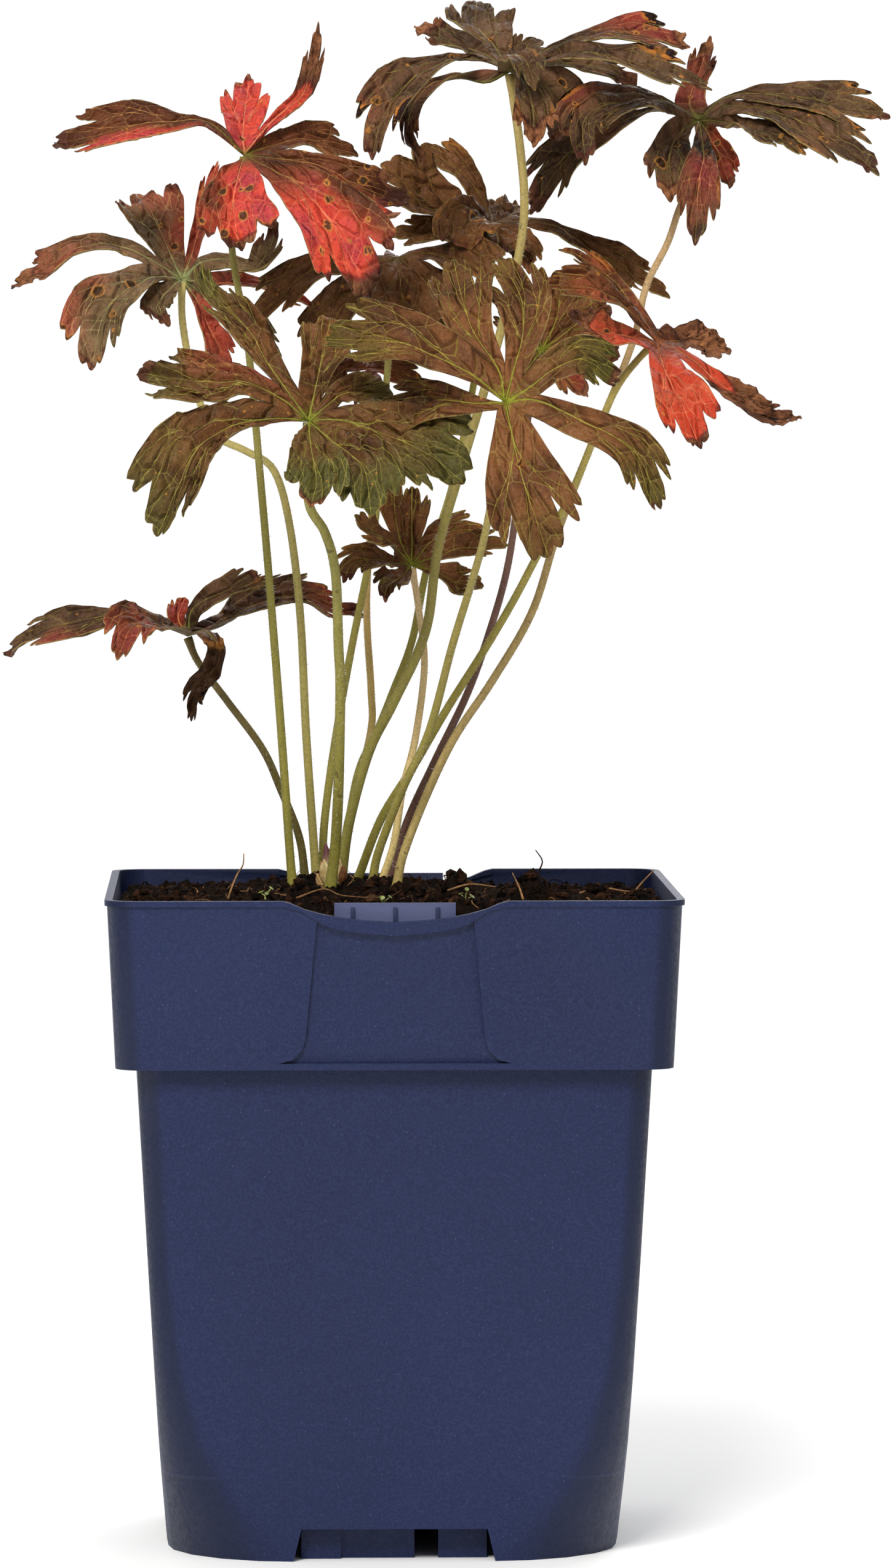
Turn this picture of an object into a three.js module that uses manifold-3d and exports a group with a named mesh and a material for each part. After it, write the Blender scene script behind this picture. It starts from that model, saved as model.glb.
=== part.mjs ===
// A hardy geranium in a deep square nursery pot: the pot, its compost, the crown of the plant, and
// for each leaf a stalk and a blade. Millimetres, +Z up, the origin at the centre of the pot's foot.
import * as THREE from 'three';
import { mergeVertices } from 'three/addons/utils/BufferGeometryUtils.js';
import Module from 'manifold-3d';

const wasm = await Module();
wasm.setup();

// ---- Driving dimensions --------------------------------------------------------------------------
const GAP = 0.3;               // running clearance between pieces that touch
const BLADE_THICKNESS = 0.66;

const POT_HEIGHT = 150;
const RIM_HALF = 65;           // half the width over the rim
const RIM_LIP = 1.3;           // height of the proud edge of the rim
const RIM_PROUD = 0.5;
const COLLAR_BOTTOM = 112;
const COLLAR_BOTTOM_HALF = 62.65;
const COLLAR_WALL = 1.3;
const BODY_TOP_HALF = 58;
const BODY_WALL = 1.2;
const FLOOR_TOP = 8.8;
const FLOOR_UNDER = 7.4;
const BOSS_RADIUS = 9;         // the moulding gate's flat boss under the floor
const DRAIN_RADIUS = 4;
const DRAIN_REACH = 27;        // drain holes lie this far out along x and along y
const NOTCH_HALF_TOP = 21;
const NOTCH_HALF_FOOT = 23;
const FOOT_WALL_REACH = 45;
const FOOT_WALL = 1.2;

const SCOOP_FLOOR = 145.2;     // the front and back of the rim dip to this height in a broad arc
const SCOOP_HALF = 25.4;
// the scoop's edge and the foot of its rolled band, [x, z] from the middle out to the rim's lip
const SCOOP_EDGE = [
  [0, SCOOP_FLOOR], [7, 145.6], [12.3, 146.3], [16.5, 147.1], [20.2, 148.1], [22, 148.9],
  [23.7, 149.6], [SCOOP_HALF, POT_HEIGHT],
];
const BAND_FOOT = [
  [0, 142.2], [7, 142.7], [10.6, 143.2], [14, 143.9], [16.2, 144.7], [18, 145.8], [20.6, 147.5],
  [23.7, 148.4], [SCOOP_HALF, POT_HEIGHT - RIM_LIP],
];
const BAND_PROUD = 0.5;
const PLATE_HALF = 27;         // the recess is cut in a plate of this half width
const RECESS_HALF_TOP = 17.5;
const RECESS_HALF_FOOT = 20;
const RECESS_CORNER = 6;
const LABEL_HALF = 13.6;       // the label strip behind each scoop
const LABEL_TOP = 149.3;
const LABEL_REACH = 59.6;
const LABEL_THICKNESS = 1.1;
const LABEL_RIBS = [-9.5, 0, 9.5];
const RIB_HALF = 0.45;
const RIB_TOP = 148.4;         // a rib is a fin on the strip above the scoop's floor

const SOIL_EDGE = 145.6;       // height of the compost at the pot's wall
const SOIL_HEAP = 5.2;         // how much higher it lies round the crown
const HEAP_CENTRE = [-10, 0];
const HEAP_SPREAD = 24;
const STALK_ROOTING = 6;       // depth to which a stalk stands in the compost

// ---- Solids: meshes joined and cut ---------------------------------------------------------------
function solidOf(geometry) {
  const bare = geometry.clone();
  bare.deleteAttribute('normal');
  bare.deleteAttribute('uv');
  const merged = mergeVertices(bare, 1e-4);
  return new wasm.Manifold(new wasm.Mesh({
    numProp: 3,
    vertProperties: new Float32Array(merged.getAttribute('position').array),
    triVerts: new Uint32Array(merged.index.array),
  }));
}

function geometryOf(solid) {
  const mesh = solid.getMesh();
  const geometry = new THREE.BufferGeometry();
  geometry.setAttribute('position', new THREE.BufferAttribute(mesh.vertProperties, 3));
  geometry.setIndex(new THREE.BufferAttribute(mesh.triVerts, 1));
  return geometry;
}

function indexedGeometry(points, triangles) {
  const geometry = new THREE.BufferGeometry();
  geometry.setAttribute('position', new THREE.Float32BufferAttribute(points, 3));
  geometry.setIndex(triangles);
  return geometry;
}

function joined(solids) {
  return solids.reduce((whole, next) => whole.add(next));
}

// the largest of the loose bodies that a cut leaves
function mainBody(solid) {
  const bodies = solid.decompose();
  return bodies.reduce((best, next) => (next.volume() > best.volume() ? next : best));
}

function box(x0, x1, y0, y1, z0, z1) {
  const geometry = new THREE.BoxGeometry(x1 - x0, y1 - y0, z1 - z0);
  geometry.translate((x0 + x1) / 2, (y0 + y1) / 2, (z0 + z1) / 2);
  return solidOf(geometry);
}

function upright(radius, x, y, z0, z1, sides = 16) {
  const geometry = new THREE.CylinderGeometry(radius, radius, z1 - z0, sides);
  geometry.rotateX(Math.PI / 2);
  geometry.translate(x, y, (z0 + z1) / 2);
  return solidOf(geometry);
}

// a prism of an (x, z) outline, from y = -far to y = -near, leaning with the collar's draft
function frontPrism(outline, near, far) {
  const shape = new THREE.Shape(outline.map(([x, z]) => new THREE.Vector2(x, z)));
  const geometry = new THREE.ExtrudeGeometry(shape, { depth: far - near, bevelEnabled: false });
  geometry.rotateX(Math.PI / 2);
  geometry.translate(0, -near, 0);
  const draft = (RIM_HALF - RIM_PROUD - COLLAR_BOTTOM_HALF) / (POT_HEIGHT - COLLAR_BOTTOM);
  const position = geometry.getAttribute('position');
  for (let i = 0; i < position.count; i += 1) {
    position.setY(i, position.getY(i) - draft * (position.getZ(i) - COLLAR_BOTTOM));
  }
  return solidOf(geometry);
}

// ---- Lofts of rounded squares --------------------------------------------------------------------
const CORNER_STEPS = 5;

function roundedSquare(half, radius) {
  const points = [];
  for (let corner = 0; corner < 4; corner += 1) {
    const toX = [1, -1, -1, 1][corner];
    const toY = [1, 1, -1, -1][corner];
    for (let i = 0; i <= CORNER_STEPS; i += 1) {
      const angle = (corner + i / CORNER_STEPS) * (Math.PI / 2);
      points.push([
        toX * (half - radius) + radius * Math.cos(angle),
        toY * (half - radius) + radius * Math.sin(angle),
      ]);
    }
  }
  return points;
}

// a closed stack of equal-count rings [[x, y], ...] at heights, capped by a fan at each end
function stack(rings, heights) {
  const count = rings[0].length;
  const points = [];
  rings.forEach((ring, level) => ring.forEach(([x, y]) => points.push(x, y, heights[level])));
  const foot = rings.length * count;
  points.push(0, 0, heights[0], 0, 0, heights[heights.length - 1]);
  const triangles = [];
  for (let i = 0; i < count; i += 1) {
    const j = (i + 1) % count;
    for (let level = 0; level + 1 < rings.length; level += 1) {
      const low = level * count;
      const high = low + count;
      triangles.push(low + i, low + j, high + j, low + i, high + j, high + i);
    }
    const top = (rings.length - 1) * count;
    triangles.push(foot, j, i, foot + 1, top + i, top + j);
  }
  return solidOf(indexedGeometry(points, triangles));
}

// the body's [height, half width, corner radius]: its corners open out towards the foot
const BODY_SECTIONS = [
  [0, 51.4, 30], [8, 52, 25], [15.5, 52.5, 19.5], [26, 53.2, 13.3],
  [42, 54.1, 8.3], [65, 55.4, 6], [112, BODY_TOP_HALF, 6],
];

function bodyLoft(inset, bottom, top) {
  const within = BODY_SECTIONS.filter(([z]) => z > bottom && z < top);
  const levels = [bodyAt(bottom), ...within, bodyAt(top)];
  const rings = levels.map(([, half, radius]) => roundedSquare(half - inset, radius - inset));
  return stack(rings, levels.map(([z]) => z));
}

function bodyAt(z) {
  const last = BODY_SECTIONS.length - 2;
  const found = BODY_SECTIONS.findIndex(([high], i) => i > 0 && z <= high);
  const upper = found < 0 ? last + 1 : found;
  const [z0, half0, radius0] = BODY_SECTIONS[upper - 1];
  const [z1, half1, radius1] = BODY_SECTIONS[upper];
  const mix = (z - z0) / (z1 - z0);
  return [z, half0 + mix * (half1 - half0), radius0 + mix * (radius1 - radius0)];
}

function collarHalf(z) {
  const rise = (z - COLLAR_BOTTOM) / (POT_HEIGHT - COLLAR_BOTTOM);
  return COLLAR_BOTTOM_HALF + rise * (RIM_HALF - RIM_PROUD - COLLAR_BOTTOM_HALF);
}

function collarLoft(inset, bottom, top) {
  const ring = (z) => roundedSquare(collarHalf(z) - inset, 7 - inset);
  return stack([ring(bottom), ring(top)], [bottom, top]);
}

// ---- Pot -----------------------------------------------------------------------------------------
function mirrored(points) {
  return [...points.slice(1).reverse().map(([x, z]) => [-x, z]), ...points];
}

function recessOutline() {
  const foot = COLLAR_BOTTOM + 1.5;
  const side = [[RECESS_HALF_TOP, SCOOP_FLOOR + 0.8]];
  for (let i = 0; i <= 3; i += 1) {
    const angle = (i / 3) * (Math.PI / 2);
    side.push([
      RECESS_HALF_FOOT + RECESS_CORNER * (1 - Math.cos(angle)),
      foot + RECESS_CORNER * (1 - Math.sin(angle)),
    ]);
  }
  return mirrored([[0, SCOOP_FLOOR - 2], ...side]);
}

// the scooped front with its recessed panel, rolled lip band and label strip; turned for the back
function frontOfCollar() {
  const wallFace = COLLAR_BOTTOM_HALF;
  const plateTop = SCOOP_FLOOR + 1;
  const plate = frontPrism([
    [-PLATE_HALF, COLLAR_BOTTOM], [PLATE_HALF, COLLAR_BOTTOM],
    [PLATE_HALF, plateTop], [-PLATE_HALF, plateTop],
  ], wallFace - 2.6, wallFace - 0.6);
  const scoop = [
    [-SCOOP_HALF, POT_HEIGHT + 3], ...mirrored(SCOOP_EDGE), [SCOOP_HALF, POT_HEIGHT + 3],
  ];
  const band = frontPrism(
    [...mirrored(SCOOP_EDGE), ...mirrored(BAND_FOOT).reverse()],
    wallFace - 2.2, wallFace + BAND_PROUD,
  );
  const strip = box(-LABEL_HALF, LABEL_HALF, -LABEL_REACH, LABEL_THICKNESS - LABEL_REACH,
    COLLAR_BOTTOM - 0.5, LABEL_TOP);
  const ribInside = 0.3 - LABEL_REACH;
  const ribs = LABEL_RIBS.flatMap((x) => [
    box(x - RIB_HALF, x + RIB_HALF, 1.4 - wallFace, ribInside, COLLAR_BOTTOM, 130),
    box(x - RIB_HALF, x + RIB_HALF, 0.6 - wallFace, ribInside, 126, SCOOP_FLOOR - 1.5),
    box(x - RIB_HALF, x + RIB_HALF, -LABEL_REACH - 0.9, ribInside, COLLAR_BOTTOM, RIB_TOP),
  ]);
  return {
    plate,
    scoop: frontPrism(scoop, wallFace - 4, wallFace + 4),
    recess: frontPrism(recessOutline(), wallFace - 1.2, wallFace + 4),
    band,
    label: joined([strip, ...ribs]),
  };
}

function quarterTurns(solid, turns) {
  return turns.map((turn) => solid.rotate([0, 0, 90 * turn]));
}

function pot() {
  const lipBottom = POT_HEIGHT - RIM_LIP;
  const lip = stack(
    [roundedSquare(RIM_HALF, 7.5), roundedSquare(RIM_HALF, 7.5)], [lipBottom, POT_HEIGHT],
  );
  let solid = joined([
    bodyLoft(0, 0, COLLAR_BOTTOM + 0.5), collarLoft(0, COLLAR_BOTTOM, POT_HEIGHT - 0.2), lip,
  ]);
  const ledge = COLLAR_BOTTOM + COLLAR_WALL;
  solid = solid.subtract(joined([
    bodyLoft(BODY_WALL, FLOOR_TOP, ledge + 0.5), collarLoft(COLLAR_WALL, ledge, POT_HEIGHT + 1),
  ]));
  solid = solid.subtract(bodyLoft(BODY_WALL, -1, FLOOR_UNDER));
  const front = frontOfCollar();
  const ends = [0, 2];
  solid = joined([solid, ...quarterTurns(front.plate, ends)]);
  solid = solid.subtract(joined(quarterTurns(front.scoop, ends)));
  solid = solid.subtract(joined(quarterTurns(front.recess, ends)));
  const inside = joined([...quarterTurns(front.band, ends), ...quarterTurns(front.label, ends)]);
  solid = solid.add(inside);

  const notch = solidOf(new THREE.ExtrudeGeometry(new THREE.Shape([
    new THREE.Vector2(-NOTCH_HALF_FOOT, -1), new THREE.Vector2(NOTCH_HALF_FOOT, -1),
    new THREE.Vector2(NOTCH_HALF_TOP, FLOOR_UNDER), new THREE.Vector2(-NOTCH_HALF_TOP, FLOOR_UNDER),
  ]), { depth: 8, bevelEnabled: false }).rotateX(Math.PI / 2).translate(0, -46.5, 0));
  const footWall = joined([
    box(-21, -12, -FOOT_WALL_REACH - 1.5, FOOT_WALL - FOOT_WALL_REACH, 0, FLOOR_UNDER + 0.4),
    box(-12.5, 4.6, -FOOT_WALL_REACH, FOOT_WALL - FOOT_WALL_REACH, 0, FLOOR_UNDER + 0.4),
    box(10, 21, -FOOT_WALL_REACH, FOOT_WALL - FOOT_WALL_REACH, 0, FLOOR_UNDER + 0.4),
  ]);
  const sides = [0, 1, 2, 3];
  solid = solid.subtract(joined(quarterTurns(notch, sides)));
  solid = joined([solid, ...quarterTurns(footWall, sides)]);
  solid = solid.add(upright(BOSS_RADIUS, 0, 0, 0, FLOOR_UNDER + 0.4, 24));
  const drain = upright(DRAIN_RADIUS, DRAIN_REACH, DRAIN_REACH, FLOOR_UNDER - 1, FLOOR_TOP + 1, 12);
  return solid.subtract(joined(quarterTurns(drain, sides)));
}

// ---- Lines in space ------------------------------------------------------------------------------
// The plant is laid out as a perspective elevation on the plane y = 0, drawn from this eye point.
// A point [x, z, depth] is its place on that elevation, moved along the line of sight to its depth.
// Depths are drawn to a smaller scale than the elevation.
const EYE = new THREE.Vector3(-35, -1937, 262.7);
const DEPTH_SCALE = 1.4;

function at([x, z, depth]) {
  const y = depth * DEPTH_SCALE;
  const scale = 1 - y / EYE.y;
  return new THREE.Vector3(EYE.x + (x - EYE.x) * scale, y, EYE.z + (z - EYE.z) * scale);
}

// a uniform Catmull-Rom curve, and its even steps by arc length
function curveThrough(points) {
  const curve = new THREE.CatmullRomCurve3(points, false, 'catmullrom', 0.5);
  curve.arcLengthDivisions = 80;
  return curve;
}

// a closed tube, its radius running from start to end, with frames carried along the curve
function tube(curve, startRadius, endRadius, steps, sides) {
  const frames = curve.computeFrenetFrames(steps, false);
  const points = [];
  for (let i = 0; i <= steps; i += 1) {
    const centre = curve.getPointAt(i / steps);
    const radius = startRadius + (endRadius - startRadius) * (i / steps);
    for (let k = 0; k < sides; k += 1) {
      const angle = (2 * Math.PI * k) / sides;
      const point = centre.clone()
        .addScaledVector(frames.normals[i], radius * Math.cos(angle))
        .addScaledVector(frames.binormals[i], radius * Math.sin(angle));
      points.push(point.x, point.y, point.z);
    }
  }
  const triangles = [];
  for (let i = 0; i < steps; i += 1) {
    for (let k = 0; k < sides; k += 1) {
      const next = (k + 1) % sides;
      const a = i * sides + k;
      const b = i * sides + next;
      triangles.push(a, b, b + sides, a, b + sides, a + sides);
    }
  }
  for (let k = 1; k + 1 < sides; k += 1) {
    const last = steps * sides;
    triangles.push(0, k + 1, k, last, last + k, last + k + 1);
  }
  return solidOf(indexedGeometry(points, triangles));
}

// ---- Leaves --------------------------------------------------------------------------------------
// face is the way a blade's upper side looks. Each lobe is a midrib from the hub to its tip, its
// widths left and right of that midrib, and how many pairs of teeth it has below the tip; it may
// have a face of its own.
const lobe = (widths, teeth, points, face) => ({ widths, teeth, points, face });

const LEAVES = {
  a: {
    hub: [-33.5, 317.8, -10],
    face: [0, -0.8, 0.6],
    radius: [0.75, 1.0],
    stalk: [
      [-36, 305.6, -10], [-36.1, 294.3, -10], [-32.7, 274.4, -10], [-29.8, 243.2, -10],
      [-27.4, 214.9, -10], [-25.1, 185.1, -9], [-23.2, 158.2, -8], [-22.5, 149.7, -8],
    ],
    lobes: [
      lobe([5, 3.8], 3, [[-41.7, 325.5, -12], [-50.2, 325.7, -14], [-61.5, 324.7, -12], [-79.2, 319.8, -8]]),
      lobe([5.4, 5.4], 3, [[-33.7, 324.7, -4], [-32.2, 334.2, 6]]),
      lobe([2.6, 3], 3, [[-27.5, 325.5, -6], [-20.4, 331.8, -2], [-17.6, 339.6, 2], [-16.4, 348.6, 4]]),
      lobe([2.8, 2.8], 2, [[-27.5, 319.4, -5], [-19, 320.4, 0], [-9.1, 319.8, 5]]),
      lobe([3.6, 6.4], 3, [[-25, 316.8, -10], [-16.2, 316.2, -12], [-4.8, 311.3, -12], [7.2, 309.9, -10]]),
      lobe([8.6, 8.4], 4, [[-26.5, 315, -13], [-20.4, 311.7, -16], [-13.3, 301.4, -20], [-4.8, 285.1, -22]]),
      lobe([8.2, 6.4], 3, [[-35.4, 311.3, -16], [-35.4, 305.6, -19], [-33.2, 297.1, -22]]),
    ],
  },
  b: {
    hub: [-47.9, 289.2, 5],
    face: [0, -0.7, 0.7],
    radius: [0.8, 1.0],
    stalk: [
      [-47.6, 278.7, 5], [-44.8, 264.5, 5], [-40.3, 253.9, 5], [-33.2, 250, 4], [-26.8, 245.6, 4],
      [-23.2, 233.3, 4], [-20.7, 212.1, 4], [-19.3, 183.7, 4], [-17.1, 152, 4],
    ],
    lobes: [
      lobe([3.4, 3.4], 2, [[-50.9, 287.2, 0], [-53.7, 282.9, -4], [-50.5, 278.8, -5]]),
      lobe([5, 7.4], 3, [[-53.7, 290, 0], [-60.1, 287.2, -6], [-65.8, 281.5, -10], [-68.7, 268.3, -12]]),
      lobe([2.8, 2.8], 4, [
        [-54.4, 293.6, 3], [-61.5, 297.1, 2], [-68.6, 297.4, 0], [-74.3, 295.7, 0],
        [-79.9, 291.4, 2], [-87.5, 287.7, 5],
      ]),
      lobe([5.2, 4.8], 2, [[-51.3, 297.1, 8], [-54.4, 304.2, 12], [-57.5, 309, 16]]),
      lobe([1.9, 1.9], 3, [[-45.9, 294.3, 8], [-43.8, 301.4, 12], [-41.7, 309.9, 16], [-39.5, 316.7, 18]]),
      lobe([2.6, 2.6], 3, [
        [-43.3, 293.4, 6], [-37.4, 294, 8], [-31.7, 292.1, 8], [-27.5, 297.1, 8], [-26.4, 303.9, 6],
      ]),
      lobe([2.2, 2.2], 3, [[-41.7, 288.6, 8], [-33.2, 289, 12], [-27.5, 287.2, 16], [-16.9, 282.9, 20]]),
      lobe([3.6, 3.6], 3, [[-42, 285.5, 8], [-36, 282.9, 10], [-30.3, 276.6, 12], [-25.4, 269.5, 14]]),
      lobe([2.6, 4.2], 3, [[-43.1, 282.9, 6], [-41, 277.3, 8], [-36, 268, 10]]),
    ],
  },
  c: {
    hub: [27.6, 337.1, 0],
    face: [0.1, -0.6, 0.8],
    radius: [0.95, 1.2],
    stalk: [
      [29.9, 319.8, 0], [30.9, 305.6, -1], [28.9, 291.4, -2], [23.5, 270.2, -3], [17.2, 248.9, -6],
      [11.1, 227.7, -8], [8.2, 208.5, -8], [0.9, 192.2, -7], [-4.8, 180.9, -5], [-9.4, 164.6, -4],
      [-11.2, 152, -3],
    ],
    lobes: [
      lobe([3.6, 5.6], 4, [
        [22.1, 339.6, 0], [16.4, 340.1, -4], [10.8, 338.9, -9], [5.1, 335.4, -13],
        [0.1, 329.7, -17], [-2.7, 324, -20], [-4.1, 316.7, -22],
      ]),
      lobe([4, 4], 3, [[20.7, 341.6, 2], [13.5, 344, 2], [5.4, 347.2, 2]]),
      lobe([6.6, 8], 3, [[23.6, 343.4, 8], [19.8, 347.8, 15], [20, 353, 22]]),
      lobe([4, 4], 2, [[30.5, 341.5, 6], [35, 344.5, 10]]),
      lobe([2.6, 3.4], 3, [[34.9, 338.5, 5], [43.4, 339.2, 8], [51.9, 336.4, 9], [57.5, 332.9, 9]]),
      lobe([4, 4], 3, [[36, 342.5, -1], [44.8, 346.5, -3], [59, 347.5, -5], [71, 344.6, -4]]),
      lobe([3.4, 4.4], 3, [[35.5, 338.8, -2], [44.8, 341.3, -8], [59, 338, -12], [75.3, 333, -12]]),
      lobe([5.2, 5.2], 3, [[33.5, 335, -3], [38.4, 331.5, -4], [39, 321.3, -1]]),
      lobe([4.6, 4.6], 2, [[30.6, 335, -4], [32.6, 330, -8], [33.2, 319.8, -10]]),
      lobe([4, 4], 2, [[27.5, 341.8, -10], [28.5, 336, -22]], [0, -0.5, 0.86]),
      lobe([1.9, 1.9], 3, [
        [22.4, 334.6, -1], [16.4, 335.8, 1], [11, 335, 1], [6.9, 331.8, -1], [4.4, 326.6, -4],
        [4.8, 320.9, -6], [7.7, 315.8, -7],
      ]),
    ],
  },
  d: {
    hub: [71, 325.9, 10],
    face: [0.1, -0.75, 0.65],
    radius: [0.75, 1.0],
    stalk: [
      [71.2, 315.5, 10], [66.8, 306.3, 9], [63.9, 297.8, 9], [59, 287.9, 9], [56.4, 276.6, 8],
      [51.9, 264.5, 8], [45.5, 249.2, 7], [38.4, 230.5, 5], [32.7, 212.8, 2], [23.5, 196.9, 0],
      [14.7, 183.7, -3], [7.9, 169.5, -6], [3, 156.8, -8], [1.6, 150, -8],
    ],
    lobes: [
      lobe([4.2, 4.2], 2, [[65.8, 322.2, 5], [63.8, 314.4, -1], [64.6, 307.6, -4]]),
      lobe([4.4, 5], 3, [[63.2, 330.4, 4], [53.3, 330.4, -2], [44.8, 326.2, -6], [45.2, 315.8, -8]]),
      lobe([4.2, 5], 3, [[60.4, 328.3, 10], [49, 323.3, 12], [39.1, 315.5, 14], [32.3, 304.2, 14]]),
      lobe([2.8, 2.8], 2, [[68.9, 330.4, 14], [71, 336.8, 18], [73.8, 345.3, 20]]),
      lobe([4.4, 4], 3, [[77.4, 331.8, 8], [87.3, 333.2, 4], [98.7, 331.6, 1], [115.2, 327.2, -2]]),
      lobe([4, 4.8], 4, [[77.4, 329.2, 7], [87.3, 328.4, 1], [98.7, 323.8, -5], [112.8, 313.8, -10]]),
      lobe([2.4, 2.6], 3, [[77.6, 325.6, 6], [84.8, 324, -1], [91.6, 320.8, -7], [95.8, 318.2, -9]]),
      lobe([3.2, 3.4], 2, [[75, 320, 7], [78.4, 310.4, 6]]),
      lobe([4.4, 4.4], 2, [[72.2, 318.1, 0], [71, 311.3, -5], [70.3, 297.4, -9]]),
    ],
  },
  e: {
    hub: [26.5, 261.1, -45],
    face: [0, -0.97, 0.24],
    radius: [0.8, 1.0],
    stalk: [
      [24.9, 249, -40], [22.1, 231.9, -34], [18.6, 219.1, -28], [14.3, 205, -22], [8.9, 185.1, -15],
      [2.7, 171.7, -12], [-2.7, 157.5, -9], [-4, 151, -8],
    ],
    lobes: [
      lobe([4.8, 7.6], 4, [[19.3, 267.3, -46], [9.4, 272.3, -46], [0.9, 275.1, -44], [-15.4, 275.8, -38]]),
      lobe([6, 6.2], 3, [[24.9, 268.8, -44], [19.3, 277.3, -40], [16.4, 285.8, -34], [14.6, 294.3, -28]]),
      lobe([6, 6], 3, [[28.5, 268.8, -44], [30.6, 277.3, -38], [29.9, 285.8, -32], [24.9, 294.6, -28]]),
      lobe([5, 3.6], 3, [[32, 264.5, -46], [37.7, 268.8, -46], [44.8, 270.9, -44], [52.3, 265.6, -40]]),
      lobe([5, 5], 4, [
        [33.5, 261.7, -47], [43.4, 257.4, -49], [51.9, 253.2, -50], [57.5, 248.2, -49],
        [63.2, 235.4, -46],
      ]),
      lobe([10.6, 11], 4, [[28.5, 251.7, -48], [30.6, 243.2, -51], [33.5, 234.7, -52], [36.6, 225.4, -50]]),
      lobe([6, 4.6], 3, [[19.3, 261, -46], [9.4, 261.7, -46], [-2, 259.5, -42]]),
    ],
  },
  f: {
    hub: [-18.8, 256.8, -35],
    face: [0, -0.85, 0.53],
    radius: [1.0, 1.25],
    stalk: [
      [-19.1, 248.9, -34], [-18.6, 237.6, -32], [-15, 231.2, -31], [-12.6, 222, -29],
      [-11.9, 205, -25], [-11.5, 195.1, -22], [-11.9, 173.8, -17], [-12.6, 159.6, -13],
      [-13.7, 150, -12],
    ],
    lobes: [
      lobe([4.6, 9.2], 4, [
        [-26.1, 257.4, -38], [-36, 256, -42], [-44.5, 250.3, -46], [-48.8, 241.8, -48],
        [-53.7, 230.2, -46],
      ]),
      lobe([7, 5.6], 4, [[-24.7, 261.7, -36], [-33.2, 265.9, -37], [-41.7, 265.9, -36], [-58.4, 268, -30]]),
      lobe([5.4, 4.4], 4, [
        [-23.2, 263.1, -35], [-28.9, 271.6, -33], [-33.2, 278.7, -30], [-41.7, 287.2, -26],
        [-43.4, 293.3, -22],
      ]),
      lobe([3.6, 3.6], 2, [[-16.9, 268.8, -30], [-16.2, 278.7, -24]]),
      lobe([4, 4], 2, [[-10.5, 263.1, -32], [0.9, 263.1, -28]]),
      lobe([7.4, 7.2], 4, [[-10.5, 256, -34], [0.9, 253.2, -34], [9.4, 248.9, -33], [17.2, 241.5, -32]]),
      lobe([5.2, 5.2], 3, [[-12.6, 251.7, -40], [-6.2, 246.1, -46], [-4.3, 234, -48]]),
      lobe([5.4, 5], 3, [[-18.3, 251.7, -42], [-17.5, 243.2, -48], [-20.4, 237, -50]]),
    ],
  },
  g: {
    hub: [1.6, 294.3, 15],
    face: [0, -0.8, 0.6],
    radius: [0.75, 0.95],
    stalk: [
      [0.3, 280.1, 15], [-1, 263.1, 15], [-2.7, 240.4, 14], [-4.8, 224.8, 13], [-8.8, 205, 12],
      [-12.6, 183.7, 10], [-15.2, 163.9, 9], [-15.6, 151, 9],
    ],
    lobes: [
      lobe([6, 5], 3, [[-4, 288.5, 14], [-10.5, 283.5, 16], [-14.7, 275.8, 19], [-16.9, 269.6, 19]]),
      lobe([4.2, 5], 4, [[-10.5, 292.9, 14], [-20.4, 290, 9], [-31.5, 279.7, 5]]),
      lobe([4, 4], 2, [[2.5, 294.6, 22], [3.5, 292.5, 32]]),
      lobe([4.4, 4.4], 3, [[9.4, 296.4, 14], [17.9, 295, 10], [22.1, 291.4, 6]]),
      lobe([5.4, 5.4], 3, [[7, 290, 11], [12.5, 281.9, 10], [13.5, 274.5, 8]]),
      lobe([4.4, 4.4], 3, [[2.4, 289, 9], [4, 279.5, 5]]),
    ],
  },
  h: {
    hub: [5, 223.5, 0],
    face: [0, -0.8, 0.6],
    radius: [0.75, 0.9],
    stalk: [
      [6.5, 214.2, 0], [7.9, 200.7, 0], [5.8, 183.7, 0], [2.8, 171.7, -1], [0.9, 159.6, -1],
      [-1.8, 151, -1],
    ],
    lobes: [
      lobe([3.4, 3.4], 2, [[1.8, 220.5, -7], [-0.6, 219.2, -11], [-1.3, 215.6, -13]]),
      lobe([4, 4], 3, [[-0.8, 224.6, -5], [-4.8, 225, -10], [-9.1, 223.7, -12], [-10.8, 219.5, -13]]),
      lobe([3.8, 3.8], 3, [[0.6, 228.7, -3], [-4.8, 231.9, -8], [-7.7, 235.4, -10]]),
      lobe([3.4, 3.4], 2, [[2.4, 229.5, -1], [1.1, 236.5, 0], [0.9, 244.9, 0]]),
      lobe([3.6, 3.8], 3, [[5, 231.5, 4.5], [5, 242, 9]]),
      lobe([3.6, 3.6], 3, [[9.4, 229.1, 5], [15, 231.9, 9], [22.1, 231.6, 10]]),
      lobe([3.4, 3.4], 3, [[10, 225.5, 2], [17.9, 227.7, 4], [27.2, 228.5, 3]]),
      lobe([4, 4], 3, [[9.4, 222.6, 0], [15, 219.9, 2], [21.7, 219, 3]]),
    ],
  },
  i: {
    hub: [23.5, 302.1, 25],
    face: [0, -0.7, 0.7],
    radius: [0.75, 0.95],
    stalk: [
      [23.3, 292, 25], [21.4, 280.1, 24], [18.6, 261.7, 22], [14.3, 241.8, 20], [8.6, 223.4, 18],
      [5.1, 206.4, 16], [0.9, 195.1, 14], [-3.1, 185.1, 12], [-7.7, 174.5, 11], [-11.5, 151, 11],
    ],
    lobes: [
      lobe([4.4, 4], 3, [[16.4, 300, 22], [9.4, 300, 21], [0.1, 299.5, 22]]),
      lobe([6.4, 6.8], 3, [[15.7, 303.5, 24], [9.4, 307, 22], [2.3, 312.7, 20], [-2, 316.2, 20]]),
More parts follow.
